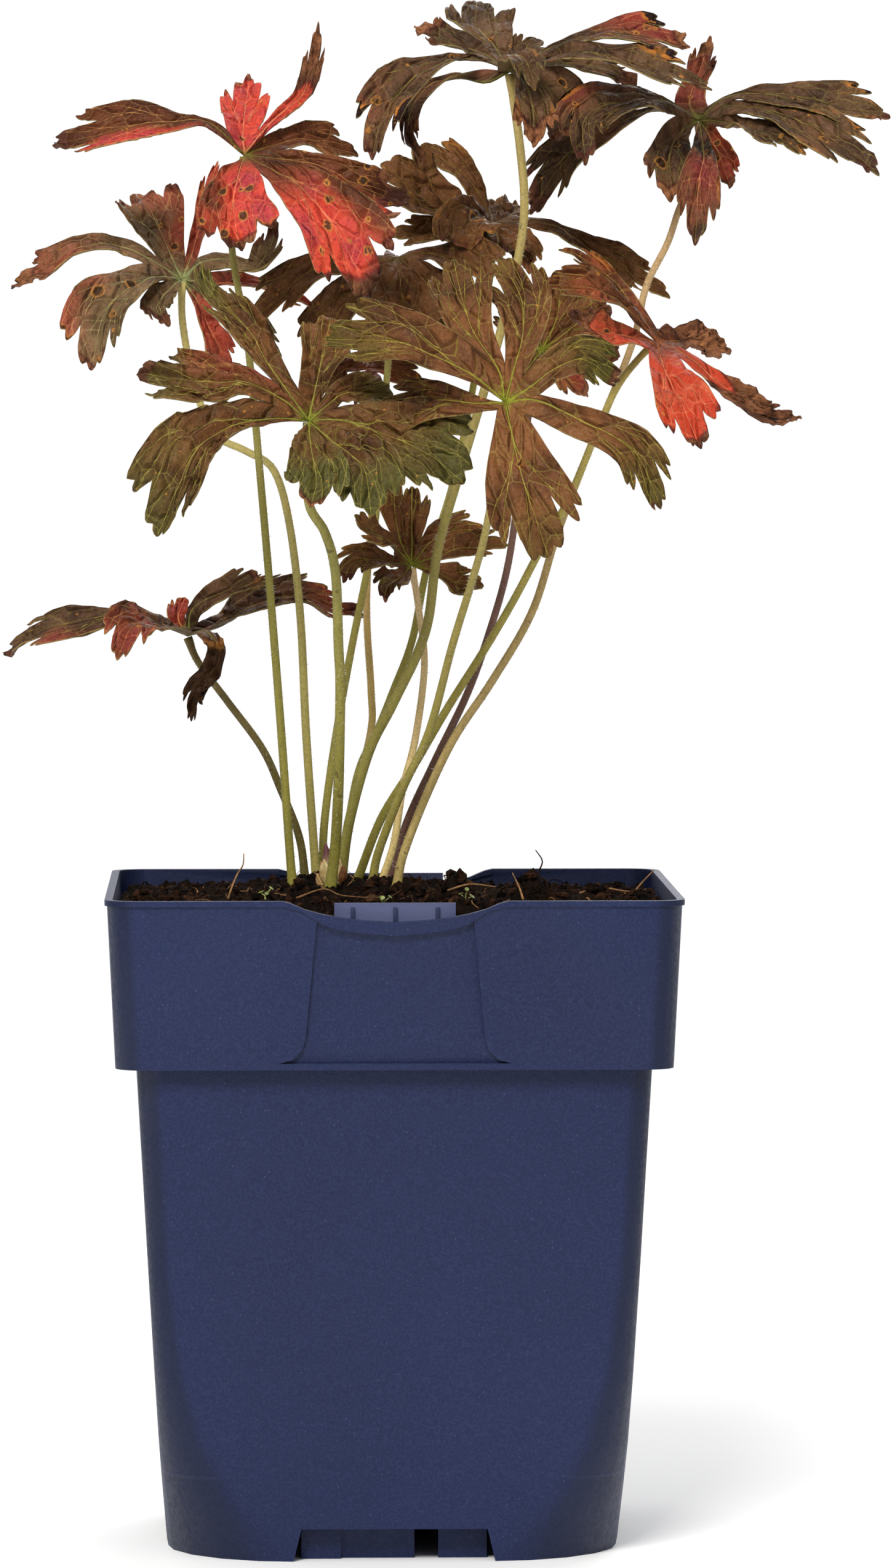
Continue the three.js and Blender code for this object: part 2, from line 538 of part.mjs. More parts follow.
      lobe([3.6, 4], 3, [[20, 309.9, 28], [15.7, 314.8, 30], [10.8, 317.7, 32], [6.5, 318.9, 32]]),
      lobe([4.2, 4.2], 2, [[23.6, 304.6, 35], [20.5, 306.4, 44]]),
      lobe([4.2, 4.2], 2, [[29.2, 304.2, 33], [33.5, 305, 42]]),
      lobe([4, 4], 4, [[34.9, 302.8, 24], [43.4, 298.5, 26], [51.9, 292.9, 26], [64.6, 285.3, 24]]),
      lobe([3.8, 3.8], 2, [[30, 297.5, 21], [32.3, 291, 18]]),
      lobe([6, 6], 2, [[24.9, 298.5, 20], [23.5, 293.6, 15]]),
    ],
  },
  j: {
    hub: [34.9, 273, 15],
    face: [0.1, -0.8, 0.6],
    radius: [0.75, 0.95],
    stalk: [
      [31.8, 257.4, 14], [29.6, 240.4, 13], [27.1, 223.4, 12], [23.2, 209.2, 11], [17.9, 194.3, 10],
      [10.1, 178, 9], [3.7, 163.9, 8], [0.1, 151, 8],
    ],
    lobes: [
      lobe([4, 4], 2, [[31.2, 268.2, 9], [28.5, 261.4, 5]]),
      lobe([4.4, 4.4], 2, [[29.2, 277.3, 17], [25.7, 284.3, 20]]),
      lobe([4.4, 3.6], 2, [[33.4, 280, 26], [32.4, 284, 38]]),
      lobe([3.6, 4.4], 3, [[38.4, 280.8, 18], [39.6, 291.4, 21]]),
      lobe([3.8, 4.4], 3, [[43.2, 279.2, 16], [51, 283, 17]]),
      lobe([4.2, 4.4], 3, [[43.5, 273, 12], [53, 271.7, 12]]),
      lobe([4, 4], 2, [[40.5, 267.3, 8], [45.5, 262.1, 4]]),
    ],
  },
  k: {
    hub: [61.4, 275, -5],
    face: [0, -0.8, 0.6],
    radius: [0.8, 1.0],
    stalk: [
      [58.3, 272.3, -5], [52.6, 265.2, -6], [48.3, 256, -6], [41.2, 239, -5], [34.9, 227.7, -3],
      [28.5, 215.6, -1], [21.4, 203.6, 1], [13.3, 190.8, 2], [5.4, 177.3, 3], [-2, 165.3, 4],
      [-7.2, 152, 4],
    ],
    lobes: [
      lobe([4, 3.8], 4, [[54.7, 282.9, -8], [47.6, 287.2, -12], [33.7, 288.6, -16]]),
      lobe([2, 2], 3, [[56.1, 283.6, -2], [49.8, 290.7, 0], [43.4, 295, 2], [38.8, 296.4, 2]]),
      lobe([3.8, 3.8], 2, [[67.5, 275.6, 1], [73.1, 274.6, 5], [78.3, 272.2, 8]]),
      lobe([3, 2.6], 3, [[68.9, 271.6, -6], [77.4, 264.5, -6], [85.9, 258.6, -4], [94.8, 257.3, 0]]),
      lobe([6.2, 5.6], 3, [[63.2, 268.8, -12], [66.8, 261.7, -18], [71.7, 250.5, -22]]),
      lobe([4.4, 4.2], 3, [[54.7, 276.6, -10], [47.6, 278, -14], [41, 281.5, -16]]),
    ],
  },
  l: {
    hub: [-46.6, 207.4, -3],
    face: [0, -0.75, 0.66],
    radius: [0.8, 0.95],
    stalk: [
      [-44.2, 201.4, -3], [-37.4, 192.2, -2], [-29.6, 181.6, 0], [-25.4, 172.4, 3],
      [-21, 161, 5.5], [-19.6, 151, 6.5],
    ],
    lobes: [
      lobe([4.6, 4.8], 4, [
        [-53, 210.6, -6], [-61.5, 212.8, -8], [-71.4, 210.6, -8], [-81.4, 207.8, -6],
        [-89.4, 202.4, -2],
      ]),
      lobe([2.8, 2.8], 2, [[-48.8, 211.6, -1], [-47.3, 216.4, 3]]),
      lobe([3.4, 2.6], 3, [[-45.4, 213.8, -1], [-37.8, 217.8, 0], [-29.6, 221.6, 0]]),
      lobe([2.6, 3.4], 3, [[-37.4, 211.6, 9], [-32.6, 216.6, 17], [-19, 221.8, 24]]),
      lobe([3.8, 4], 4, [
        [-39.5, 209.6, 1.5], [-31.7, 214.6, 9], [-21.8, 216.4, 17], [-12.6, 213.6, 22],
        [-4.8, 212.1, 24],
      ]),
      lobe([2.4, 2.4], 4, [
        [-42.5, 208.6, -7], [-39.4, 204.5, -10], [-41.3, 199, -10], [-44.6, 194.5, -9],
        [-46, 187.5, -8],
      ]),
      lobe([5.2, 5.2], 3, [[-51, 209.5, -11], [-58.8, 210.2, -20], [-62.9, 201.9, -26]]),
    ],
  },
  n: {
    hub: [-5.5, 268.8, 20],
    face: [0, -0.7, 0.7],
    radius: [0.75, 0.9],
    stalk: [
      [-4.6, 255, 20], [-4.1, 240.4, 20], [-5.4, 214.9, 19], [-4.4, 195.1, 18], [-4.5, 185.1, 17],
      [-9.1, 166.7, 15], [-11.6, 151, 14],
    ],
    lobes: [
      lobe([4.6, 4.6], 2, [[-10.5, 268.8, 21], [-15.2, 263.5, 20]]),
      lobe([4.2, 4.2], 2, [[-4.8, 273, 26], [-5.1, 277.6, 34]]),
      lobe([4.8, 4.8], 2, [[0.2, 268.8, 22], [7.4, 264.2, 22]]),
      lobe([4, 4], 2, [[-4.8, 264.4, 15], [-4.8, 257.3, 11]]),
    ],
  },
};

const LOBE_BASE = 0.2;         // a lobe's width at the hub as a share of its widest
const LOBE_WIDEST = 0.58;      // where its longest side veins leave the midrib
const LOBE_BLUNTNESS = 2.4;
const NOTCH_DEPTH = 0.32;
const VEIN_ANGLE = 0.9;        // radians between a side vein and the midrib
const FOLD = 0.22;             // rise of each half towards its margin

function sideVein(along, half) {
  const rise = Math.min(along / LOBE_WIDEST, 1);
  const fall = Math.max((along - LOBE_WIDEST) / (1 - LOBE_WIDEST), 0);
  return half * (LOBE_BASE + (1 - LOBE_BASE) * rise) * (1 - fall ** LOBE_BLUNTNESS);
}

// a point on the midrib, run on straight past either end
function onMidrib(curve, along) {
  const held = Math.min(Math.max(along, 0), 1);
  const tangent = curve.getTangentAt(held);
  return curve.getPointAt(held).addScaledVector(tangent, (along - held) * curve.getLength());
}

// One lobe of a blade: its tip, and a row of three places (right, middle, left) at every tooth and
// notch. Side veins lean forward, so a tooth's point lies ahead of where its vein leaves the midrib.
function lobeRows(leaf, { widths, teeth, points, face }, spare) {
  const curve = curveThrough([at(leaf.hub), ...points.map(at)]);
  const length = curve.getLength();
  const upper = new THREE.Vector3(...(face ?? leaf.face));
  const count = 2 * teeth;
  const onSheet = (along, out) => {
    const tangent = curve.getTangentAt(Math.min(along, 1));
    const normal = upper.clone().addScaledVector(tangent, -upper.dot(tangent)).normalize();
    const across = normal.clone().cross(tangent);
    const place = onMidrib(curve, along)
      .addScaledVector(across, out).addScaledVector(normal, FOLD * Math.abs(out));
    return { place, normal };
  };
  const rows = [];
  for (let row = 1; row <= count; row += 1) {
    const along = row / (count + 1);
    const notch = row % 2 === 0 ? 1 - NOTCH_DEPTH : 1;
    const [left, right] = widths.map((width) => sideVein(along, width) * notch);
    const marginAt = (out) => along + out / Math.tan(VEIN_ANGLE) / length;
    rows.push([
      onSheet(marginAt(right), -right - spare), onSheet(along, 0),
      onSheet(marginAt(left), left + spare),
    ]);
  }
  return { rows, tip: onSheet(1 + spare / length, 0) };
}

// halfway between two places on neighbouring lobes: the foot of the cut between them
function between(first, second) {
  return {
    place: first.place.clone().add(second.place).multiplyScalar(0.5),
    normal: first.normal.clone().add(second.normal).normalize(),
  };
}

// A blade is one sheet. Its lobes go round clockwise, seen from above, and fan out from the hub.
// Neighbours share the foot of the cut between them, and the stalk's own cut stays open.
function bladeSheet(leaf, spare) {
  const hub = { place: at(leaf.hub), normal: new THREE.Vector3(...leaf.face).normalize() };
  const lobes = leaf.lobes.map((each) => lobeRows(leaf, each, spare));
  const sheet = [hub];
  const faces = [];
  const sides = [];
  let shared = -1;
  lobes.forEach(({ rows, tip }, k) => {
    const ids = rows.map((row) => row.map((spot) => sheet.push(spot) - 1));
    const apex = sheet.push(tip) - 1;
    if (k > 0) {
      sheet[shared] = between(sheet[shared], rows[0][2]);
      ids[0][2] = shared;
    }
    [shared] = ids[0];
    faces.push([0, ids[0][0], ids[0][1]], [0, ids[0][1], ids[0][2]]);
    for (let row = 0; row + 1 < ids.length; row += 1) {
      for (const column of [0, 1]) {
        const [a, b] = [ids[row][column], ids[row][column + 1]];
        const [c, d] = [ids[row + 1][column], ids[row + 1][column + 1]];
        faces.push([a, c, d], [a, d, b]);
      }
    }
    const [right, middle, left] = ids[ids.length - 1];
    faces.push([right, apex, middle], [middle, apex, left]);
    const goingOut = ids.map((row) => row[0]);
    const comingBack = ids.map((row) => row[2]).reverse();
    sides.unshift([...goingOut.slice(1), apex, ...comingBack]);
  });
  return { sheet, faces, margin: [0, shared, ...sides.flat()] };
}

function blade(leaf, spare = 0) {
  const { sheet, faces, margin } = bladeSheet(leaf, spare);
  const points = [];
  for (const offset of [1, -1]) {
    sheet.forEach(({ place, normal }) => {
      const point = place.clone().addScaledVector(normal, offset * (BLADE_THICKNESS / 2 + spare));
      points.push(point.x, point.y, point.z);
    });
  }
  const under = sheet.length;
  const used = new Map();
  const triangles = [];
  faces.forEach(([a, b, c]) => triangles.push(a, b, c, under + a, under + c, under + b));
  margin.forEach((a, i) => {
    const b = margin[(i + 1) % margin.length];
    triangles.push(a, under + a, under + b, a, under + b, b);
  });
  const kept = triangles.map((corner) => {
    if (!used.has(corner)) used.set(corner, used.size);
    return used.get(corner);
  });
  const keptPoints = [...used.keys()].flatMap((corner) => points.slice(corner * 3, corner * 3 + 3));
  return solidOf(indexedGeometry(keptPoints, kept));
}

const STALK_STEP = 11;
const STALK_SIDES = 6;

function stalkCurve(leaf, below) {
  const top = at(leaf.hub).addScaledVector(new THREE.Vector3(...leaf.face), -0.6);
  const path = [top, ...leaf.stalk.map(at)];
  const last = path[path.length - 1];
  const before = path[path.length - 2];
  const down = last.clone().sub(before).normalize();
  const foot = last.clone().addScaledVector(down, (last.z - SOIL_EDGE + below) / -down.z);
  return curveThrough([...path, foot]);
}

function stalk(leaf, spare = 0) {
  const curve = stalkCurve(leaf, STALK_ROOTING + spare - 4);
  const steps = Math.round(curve.getLength() / STALK_STEP);
  const [top, foot] = leaf.radius;
  return tube(curve, top + spare, foot + spare, steps, STALK_SIDES);
}

// ---- Compost -------------------------------------------------------------------------------------
const SOIL_HALF = 62.3;
const SOIL_RINGS = 11;

function soilHeight(x, y) {
  const away = ((x - HEAP_CENTRE[0]) ** 2 + (y - HEAP_CENTRE[1]) ** 2) / (2 * HEAP_SPREAD ** 2);
  const lumps = 0.9 * Math.sin(0.31 * x + 1.3) * Math.cos(0.27 * y - 0.4)
    + 0.7 * Math.sin(0.53 * x - 0.49 * y) + 0.5 * Math.cos(0.71 * x + 0.62 * y + 2);
  const front = 3.2 * Math.exp(-((y + 50) ** 2) / 160) * (0.7 + 0.3 * Math.sin(0.16 * x + 0.5));
  return SOIL_EDGE + SOIL_HEAP * Math.exp(-away) + lumps + front;
}

function soilTop() {
  const rim = [];
  for (let i = 0; i < 4; i += 1) {
    for (let k = 0; k < 11; k += 1) {
      const run = k / 11 * 2 - 1;
      const [x, y] = [[1, run], [-run, 1], [-1, -run], [run, -1]][i];
      const corner = 1 - 0.045 * Math.max(0, Math.abs(x * y) - 0.55) / 0.45;
      rim.push([x * corner, y * corner]);
    }
  }
  const count = rim.length;
  const points = [0, 0, soilHeight(0, 0)];
  for (let ring = 1; ring <= SOIL_RINGS; ring += 1) {
    const reach = SOIL_HALF * ring / SOIL_RINGS;
    rim.forEach(([x, y]) => {
      const [px, py] = [x * reach, y * reach];
      points.push(px, py, soilHeight(px, py));
    });
  }
  const bottom = points.length / 3;
  const seat = SOIL_EDGE - 4.6;
  rim.forEach(([x, y]) => points.push(x * SOIL_HALF, y * SOIL_HALF, seat));
  points.push(0, 0, seat);
  const triangles = [];
  for (let i = 0; i < count; i += 1) {
    const j = (i + 1) % count;
    triangles.push(0, 1 + i, 1 + j, bottom + count, bottom + j, bottom + i);
    for (let ring = 0; ring + 1 < SOIL_RINGS; ring += 1) {
      const near = 1 + ring * count;
      const far = near + count;
      triangles.push(near + i, far + i, far + j, near + i, far + j, near + j);
    }
    const edge = 1 + (SOIL_RINGS - 1) * count;
    triangles.push(edge + i, bottom + i, bottom + j, edge + i, bottom + j, edge + j);
  }
  return solidOf(indexedGeometry(points, triangles));
}

const CROWN_CENTRE = [-13.6, -9.8];
const CROWN_RADIUS = 1.7;
const CROWN_FOOT = 143;

function soil(holes) {
  const ledge = COLLAR_BOTTOM + COLLAR_WALL;
  const room = GAP + 0.05;
  const bulk = joined([
    bodyLoft(BODY_WALL + room, FLOOR_TOP + GAP, ledge + room + 0.5),
    collarLoft(COLLAR_WALL + room, ledge + room, SOIL_EDGE - 3.6),
    soilTop(),
  ]);
  const labelRoom = LABEL_REACH - LABEL_THICKNESS - GAP;
  const slots = [
    box(-28, 28, -70, -labelRoom, COLLAR_BOTTOM - 1, 160),
    box(-28, 28, labelRoom, 70, COLLAR_BOTTOM - 1, 160),
  ];
  return mainBody(bulk.subtract(joined([...slots, ...holes])));
}

// ---- Crown ---------------------------------------------------------------------------------------
// a papery scale or bud: a flattened cone of a few sides leaning away from the crown's middle
function scale([width, thick, height, turn, lean, lift], spare) {
  const geometry = new THREE.SphereGeometry(1, 6, 4);
  geometry.rotateX(Math.PI / 2);
  geometry.scale(width / 2 + spare, thick / 2 + spare, height / 2 + spare);
  geometry.translate(0, 0, height / 2);
  geometry.rotateX(lean);
  geometry.translate(0, -CROWN_RADIUS * 0.7, lift);
  geometry.rotateZ(turn);
  geometry.translate(CROWN_CENTRE[0], CROWN_CENTRE[1], 0);
  return solidOf(geometry);
}

const SCALES = [
  [3.2, 1.2, 7, -0.5, 0.35, 150],
  [3.4, 1.1, 6, 0.9, 0.4, 149.5],
  [3, 1.1, 6, 2.4, 0.12, 150.5],
  [2.8, 1.1, 6, -2.2, 0.2, 150],
  [2.6, 2.2, 12, 3.6, 0.04, 149.5],
];

function crown(spare = 0) {
  const core = upright(CROWN_RADIUS + spare, ...CROWN_CENTRE, CROWN_FOOT - spare, 153 + spare, 8);
  return joined([core, ...SCALES.map((each) => scale(each, spare))]);
}

// ---- The part ------------------------------------------------------------------------------------
const MATERIALS = {
  pot: { color: 0x30385f, roughness: 0.55 },
  soil: { color: 0x2b1d14, roughness: 0.95 },
  crown: { color: 0xb89a68, roughness: 0.8 },
  greenStalk: { color: 0x8c9440, roughness: 0.6 },
  tanStalk: { color: 0xa8894e, roughness: 0.6 },
  brownLeaf: { color: 0x5a4632, roughness: 0.6 },
  redLeaf: { color: 0xc8503a, roughness: 0.6 },
};
const RED_LEAVES = 'ak';
const TAN_STALKS = 'dhjln';

const part = new THREE.Group();

function addPiece(name, solid, material) {
  const mesh = new THREE.Mesh(
    geometryOf(solid), new THREE.MeshStandardMaterial({ ...MATERIALS[material], metalness: 0 }),
  );
  mesh.name = name;
  part.add(mesh);
}

const leaves = Object.entries(LEAVES);
addPiece('pot', pot(), 'pot');
addPiece('soil', soil([crown(GAP), ...leaves.map(([, leaf]) => stalk(leaf, GAP))]), 'soil');
addPiece('crown', crown(), 'crown');
for (const [letter, leaf] of leaves) {
  const trimmed = mainBody(stalk(leaf).subtract(blade(leaf, GAP)));
  addPiece(`stalk_${letter}`, trimmed, TAN_STALKS.includes(letter) ? 'tanStalk' : 'greenStalk');
  addPiece(`blade_${letter}`, blade(leaf), RED_LEAVES.includes(letter) ? 'redLeaf' : 'brownLeaf');
}

export default part;
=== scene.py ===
# A hardy geranium in a deep square nursery pot. The plant's leaves, stalks, crown and compost are
# made as surfaces around the part's solids, and the pot is finished from its own solid.
import math

import bmesh
import bpy
import numpy as np
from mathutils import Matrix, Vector


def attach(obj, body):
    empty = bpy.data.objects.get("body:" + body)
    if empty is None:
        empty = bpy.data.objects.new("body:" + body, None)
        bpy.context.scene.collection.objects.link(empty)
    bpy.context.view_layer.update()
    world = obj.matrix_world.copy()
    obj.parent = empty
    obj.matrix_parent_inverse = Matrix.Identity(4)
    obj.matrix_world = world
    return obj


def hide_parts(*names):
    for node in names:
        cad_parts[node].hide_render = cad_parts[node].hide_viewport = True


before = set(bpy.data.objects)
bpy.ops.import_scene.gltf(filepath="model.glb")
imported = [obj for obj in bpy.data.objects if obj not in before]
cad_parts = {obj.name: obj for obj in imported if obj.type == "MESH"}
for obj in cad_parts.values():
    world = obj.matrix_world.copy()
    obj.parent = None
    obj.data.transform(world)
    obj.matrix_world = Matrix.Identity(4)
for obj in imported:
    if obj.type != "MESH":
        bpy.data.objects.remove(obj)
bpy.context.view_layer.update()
MM = 0.001


# ---- Stage -----------------------------------------------------------------------------------
# The pot stands on a pale table against white. A large soft light from the upper left models the
# leaves, weaker ones from the right and from behind open their shaded sides, the sky around them
# is brighter above and behind than in front and at the sides, and a long lens looks on.
IMAGE_SIZE = (1456, 2549)
FOCAL_LENGTH = 13665           # in pixels of the image
EYE = np.array([-35.0, -1937.0, 262.7])
STRAIGHT_AHEAD = (387, 643)    # the pixel that looks along +Y
SENSOR = 36
PLANT_MIDDLE = (0, 0, 0.22)
# each light: its place, its width, its watts and its tint
LIGHTS = {
    "key_light": ((-0.55, -1.9, 1.75), 0.8, 58, (1.0, 0.98, 0.95)),
    "fill_light": ((1.3, -1.5, 0.8), 1.2, 3, (0.94, 0.97, 1.0)),
    "back_light": ((0.5, 1.6, 1.3), 1.2, 16, (1.0, 1.0, 1.0)),
}
BRIGHT_SKY = (-0.15, 0.55, 0.8)
SIDE_DIMMING = -1.3
LOWEST_SHADE = (-0.8, 0.22)    # where the sky is darkest, and how bright it is there
BACKDROP = 1.04


def linear(code):
    """A colour code of three hex pairs as the linear red, green, blue and alpha that shaders take."""
    parts = np.array([int(code[i:i + 2], 16) for i in (0, 2, 4)]) / 255
    low, high = parts / 12.92, ((parts + 0.055) / 1.055) ** 2.4
    return (*np.where(parts <= 0.04045, low, high), 1.0)


def sum_by(operation):
    """A way to put two values, the first of them a wire, through one Math node."""
    return lambda self, other: maths(operation, self, other)


class Wire:
    """The value on a node's socket. Sums of wires and numbers add Math nodes to its tree."""
    __add__, __sub__, __mul__, __truediv__, __lt__, __gt__ = (
        sum_by(name) for name in ("ADD", "SUBTRACT", "MULTIPLY", "DIVIDE", "LESS_THAN", "GREATER_THAN")
    )

    def __init__(self, socket):
        self.socket = socket
        self.tree = socket.id_data

    def other(self, output):
        """The wire from another output of the same node."""
        return Wire(self.socket.node.outputs[output])

    def step(self, low, high, start=0.0, end=1.0):
        """A smooth step from start to end as this value goes from low to high."""
        limits = {"Value": self, "From Min": low, "From Max": high, "To Min": start, "To Max": end}
        return wired(self.tree, "MapRange", limits, interpolation_type="SMOOTHSTEP")

    def __rsub__(self, other):
        return maths("SUBTRACT", other, self)

    def __abs__(self):
        return maths("ABSOLUTE", self)


def feed(node, inputs):
    """Links wires to a node's inputs, or sets them to colour codes or plain values."""
    for key, value in inputs.items():
        if isinstance(value, Wire):
            value.tree.links.new(value.socket, node.inputs[key])
        else:
            node.inputs[key].default_value = linear(value) if isinstance(value, str) else value


def wired(tree, kind, inputs=None, output=0, **settings):
    """Adds a shader node to a tree, and gives the wire from one of its outputs."""
    node = tree.nodes.new("ShaderNode" + kind)
    for name, value in settings.items():
        setattr(node, name, value)
    feed(node, inputs or {})
    return Wire(node.outputs[output])


def maths(operation, *values):
    """One sum of wires and numbers."""
    tree = next(value.tree for value in values if isinstance(value, Wire))
    return wired(tree, "Math", dict(enumerate(values)), operation=operation)


def split(vector, kind="SeparateXYZ"):
    """The three parts of a vector or, with the other kind of node, of a colour."""
    first = wired(vector.tree, kind, {0: vector})
    return [first.other(part) for part in range(3)]


def new_finish(name, roughness=0.6, specular=0.5):
    """A material of one Principled shader: the material, that shader, and a surface point's place."""
    material = bpy.data.materials.new(name)
    material.use_nodes = True
    shader = material.node_tree.nodes["Principled BSDF"]
    feed(shader, {"Roughness": roughness, "Specular IOR Level": specular})
    return material, shader, wired(material.node_tree, "TexCoord", output="Object")


def towards(line):
    """The turn of a light or lens that looks along a line."""
    return Vector(line).to_track_quat("-Z", "Y").to_euler()


floor_finish, shader, _ = new_finish("table_top", roughness=0.9)
tree = floor_finish.node_tree
grain = wired(tree, "TexNoise", {"Scale": 9.0, "Detail": 4.0})
feed(shader, {"Base Color": wired(tree, "MapRange", {"Value": grain, "To Min": 0.95, "To Max": 0.98})})
bpy.ops.mesh.primitive_plane_add(size=2, location=(0, 0, 0))
floor = bpy.context.object
floor.name = "floor"
floor.data.materials.append(floor_finish)

scene = bpy.context.scene
for name, (place, width, watts, tint) in LIGHTS.items():
    lamp = bpy.data.lights.new(name, "AREA")
    lamp.shape = "SQUARE"
    lamp.size = width
    lamp.energy = watts
    lamp.color = tint
    holder = bpy.data.objects.new(name, lamp)
    holder.location = place
    holder.rotation_euler = towards(Vector(PLANT_MIDDLE) - Vector(place))
    scene.collection.objects.link(holder)

sky = bpy.data.worlds.new("white_sky")
sky.use_nodes = True
tree = sky.node_tree
heading = wired(tree, "TexCoord", output="Generated")
upward = wired(tree, "VectorMath", {0: heading, 1: BRIGHT_SKY}, "Value", operation="DOT_PRODUCT")
sideways = split(heading)[0]
shade = maths("MULTIPLY_ADD", sideways * sideways, SIDE_DIMMING, upward)
darkest = {"From Min": LOWEST_SHADE[0], "To Min": LOWEST_SHADE[1]}
lighting = wired(tree, "MapRange", {"Value": shade, **darkest})
seen = wired(tree, "LightPath", output="Is Camera Ray")
brightness = wired(tree, "Mix", {0: seen, 2: lighting, 3: BACKDROP})
feed(tree.nodes["Background"], {"Color": "ffffff", "Strength": brightness})
scene.world = sky
scene.view_settings.view_transform = "Standard"

lens = bpy.data.cameras.new("main_camera")
lens.sensor_width = SENSOR
lens.lens = SENSOR * FOCAL_LENGTH / IMAGE_SIZE[1]
lens.clip_end = 20
camera = bpy.data.objects.new("main_camera", lens)
camera.location = Vector(EYE * MM)
right = (IMAGE_SIZE[0] / 2 - STRAIGHT_AHEAD[0]) / FOCAL_LENGTH
camera.rotation_euler = towards((right, 1, (STRAIGHT_AHEAD[1] - IMAGE_SIZE[1] / 2) / FOCAL_LENGTH))
scene.collection.objects.link(camera)
scene.camera = camera


# ---- Pot -------------------------------------------------------------------------------------
# An injection-moulded polypropylene nursery pot, square at the rim and rounding off towards its
# foot. Its plastic is a matt navy with fine pale flecks, and the bare label strip behind the scoop
# of the rim is paler. Its rounded corners are darkened by painted shade. It is the part's own
# solid, with its edges softened.
LABEL_HALF_WIDTH = 0.0139
LABEL_REACH = 0.0605
LABEL_DEPTH = 0.0025
LABEL_FOOT = 0.12
PARTING_HEIGHT = 0.019
PARTING_HALF_WIDTH = (0.0002, 0.0005)
PARTING_START = (0.036, 0.046)
EDGE_WIDTH = 0.0004
# in degrees: what counts as flat, as a sharp edge, and as an edge to be softened
FLAT, SHARP, SOFTENED = 0.6, 32, 40


def noise(place, scale, detail=2.0):
    """Smooth noise, about 0.5, over a place."""
    return wired(place.tree, "TexNoise", {"Vector": place, "Scale": scale, "Detail": detail})


def cells(place, scale, **settings):
    """How far a place is from its cell's middle or, where asked, from its edge, by irregular cells."""
    return wired(place.tree, "TexVoronoi", {"Vector": place, "Scale": scale}, "Distance", **settings)


def mixed(factor, first, second):
    """Two colours mixed; each is a wire, or a code of three hex pairs."""
    return wired(factor.tree, "Mix", {0: factor, 6: first, 7: second}, 2, data_type="RGBA")


def layered(colour, *coats):
    """A colour under coats, each of them how much it covers and its own colour."""
    for cover, coat in coats:
        colour = mixed(cover, colour, coat)
    return colour


def bump(height, distance, strength=1.0):
    """The normal over relief of that height between 0 and 1."""
    return wired(height.tree, "Bump", {"Height": height, "Distance": distance, "Strength": strength})


pot_finish, shader, place = new_finish("navy_polypropylene", specular=0.3)
flecks = cells(place, 1100)
fleck_size = split(flecks.other("Color"), "SeparateColor")[0].step(0.75, 1, 0, 0.16)
x, y, z = split(place)
across, outwards = abs(x), abs(y)
in_strip = (outwards < LABEL_REACH) * (outwards > LABEL_REACH - LABEL_DEPTH)
on_label = (across < LABEL_HALF_WIDTH) * in_strip * (z > LABEL_FOOT)
parting = abs(z - PARTING_HEIGHT).step(*PARTING_HALF_WIDTH, 1, 0) * across.step(*PARTING_START)
# painted shade: where the surface faces half aside, on the rounded corners, the plastic is darkened towards
# near-black navy
facing = split(wired(place.tree, "TexCoord", output="Normal"))
painted_corner_shade = maths("MINIMUM", abs(facing[0]), abs(facing[1]))
plastic = layered(
    mixed(noise(place, 14, 5).step(0.3, 0.7), "0a173b", "0f1d43"),
    (noise(place, 1900, 3).step(0.42, 0.62, 0, 0.3), "28325a"), ((flecks < fleck_size) * 0.3, "6a6c8e"),
    (on_label * 0.8, "52587a"), (parting * 0.3, "39426c"), (painted_corner_shade.step(0.12, 0.4, 0, 0.5), "040b22"),
)
skin = noise(place, 900, 3)
feed(shader, {"Base Color": plastic, "Roughness": skin.step(0.2, 0.8, 0.42, 0.6),
              "Normal": bump(skin + parting, 0.00012, 0.5)})

pot = bpy.data.objects.new("pot_shell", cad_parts["pot"].data.copy())
scene.collection.objects.link(pot)
shell = bmesh.new()
shell.from_mesh(pot.data)
bmesh.ops.remove_doubles(shell, verts=shell.verts, dist=1e-6)
bmesh.ops.dissolve_limit(shell, angle_limit=math.radians(FLAT), verts=shell.verts, edges=shell.edges)
shell.to_mesh(pot.data)
shell.free()
pot.data.materials.clear()
pot.data.materials.append(pot_finish)
pot.data.shade_smooth()
pot.data.set_sharp_from_angle(angle=math.radians(SHARP))
softened = pot.modifiers.new("moulded_edges", "BEVEL")
softened.width = EDGE_WIDTH
softened.segments = 2
softened.limit_method = "ANGLE"
softened.angle_limit = math.radians(SOFTENED)
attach(pot, "root")
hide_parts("pot")


# ---- Compost ---------------------------------------------------------------------------------
# A dark peat mix fills the pot to just under its rim and is heaped a little round the crown. It
# is a crumbly surface with clods, loose crumbs, bark fibres, a few twigs and tiny seedlings on it.
SOIL_HALF = 62.2
SOIL_EDGE = 145.6
SOIL_HEAP = 5.2
HEAP_CENTRE = (-10, 0)
HEAP_SPREAD = 24
RIDGE_LINE = -50
RIDGE_HEIGHT = 3.2
SLOT = (27, -55.5)             # the hollow behind the scoop: its half width, and where it starts
SLOT_DEPTH = 7
SLOT_SOFTNESS = 0.8
SOIL_FOOT = 122
SOIL_TAPER = 0.985
SOIL_STEPS = 260
CORNER_START, CORNER_DRAW = 0.55, 0.045
# the soil's relief: how high, how long and how many its waves are
SOIL_WAVES = [(0.5, 5, 7), (0.45, 2.2, 9), (0.3, 1.1, 12)]
CRUMBS = 2600
CRUMB_RINGS, CRUMB_SIDES = 4, 6
CRUMB_SIZES = (0.25, 1.5)
CRUMB_FLATNESS = 0.75
FRONT_CROWDING = 1.35          # above one, crumbs and fibres lie more thickly near the front
FIBRES = 420
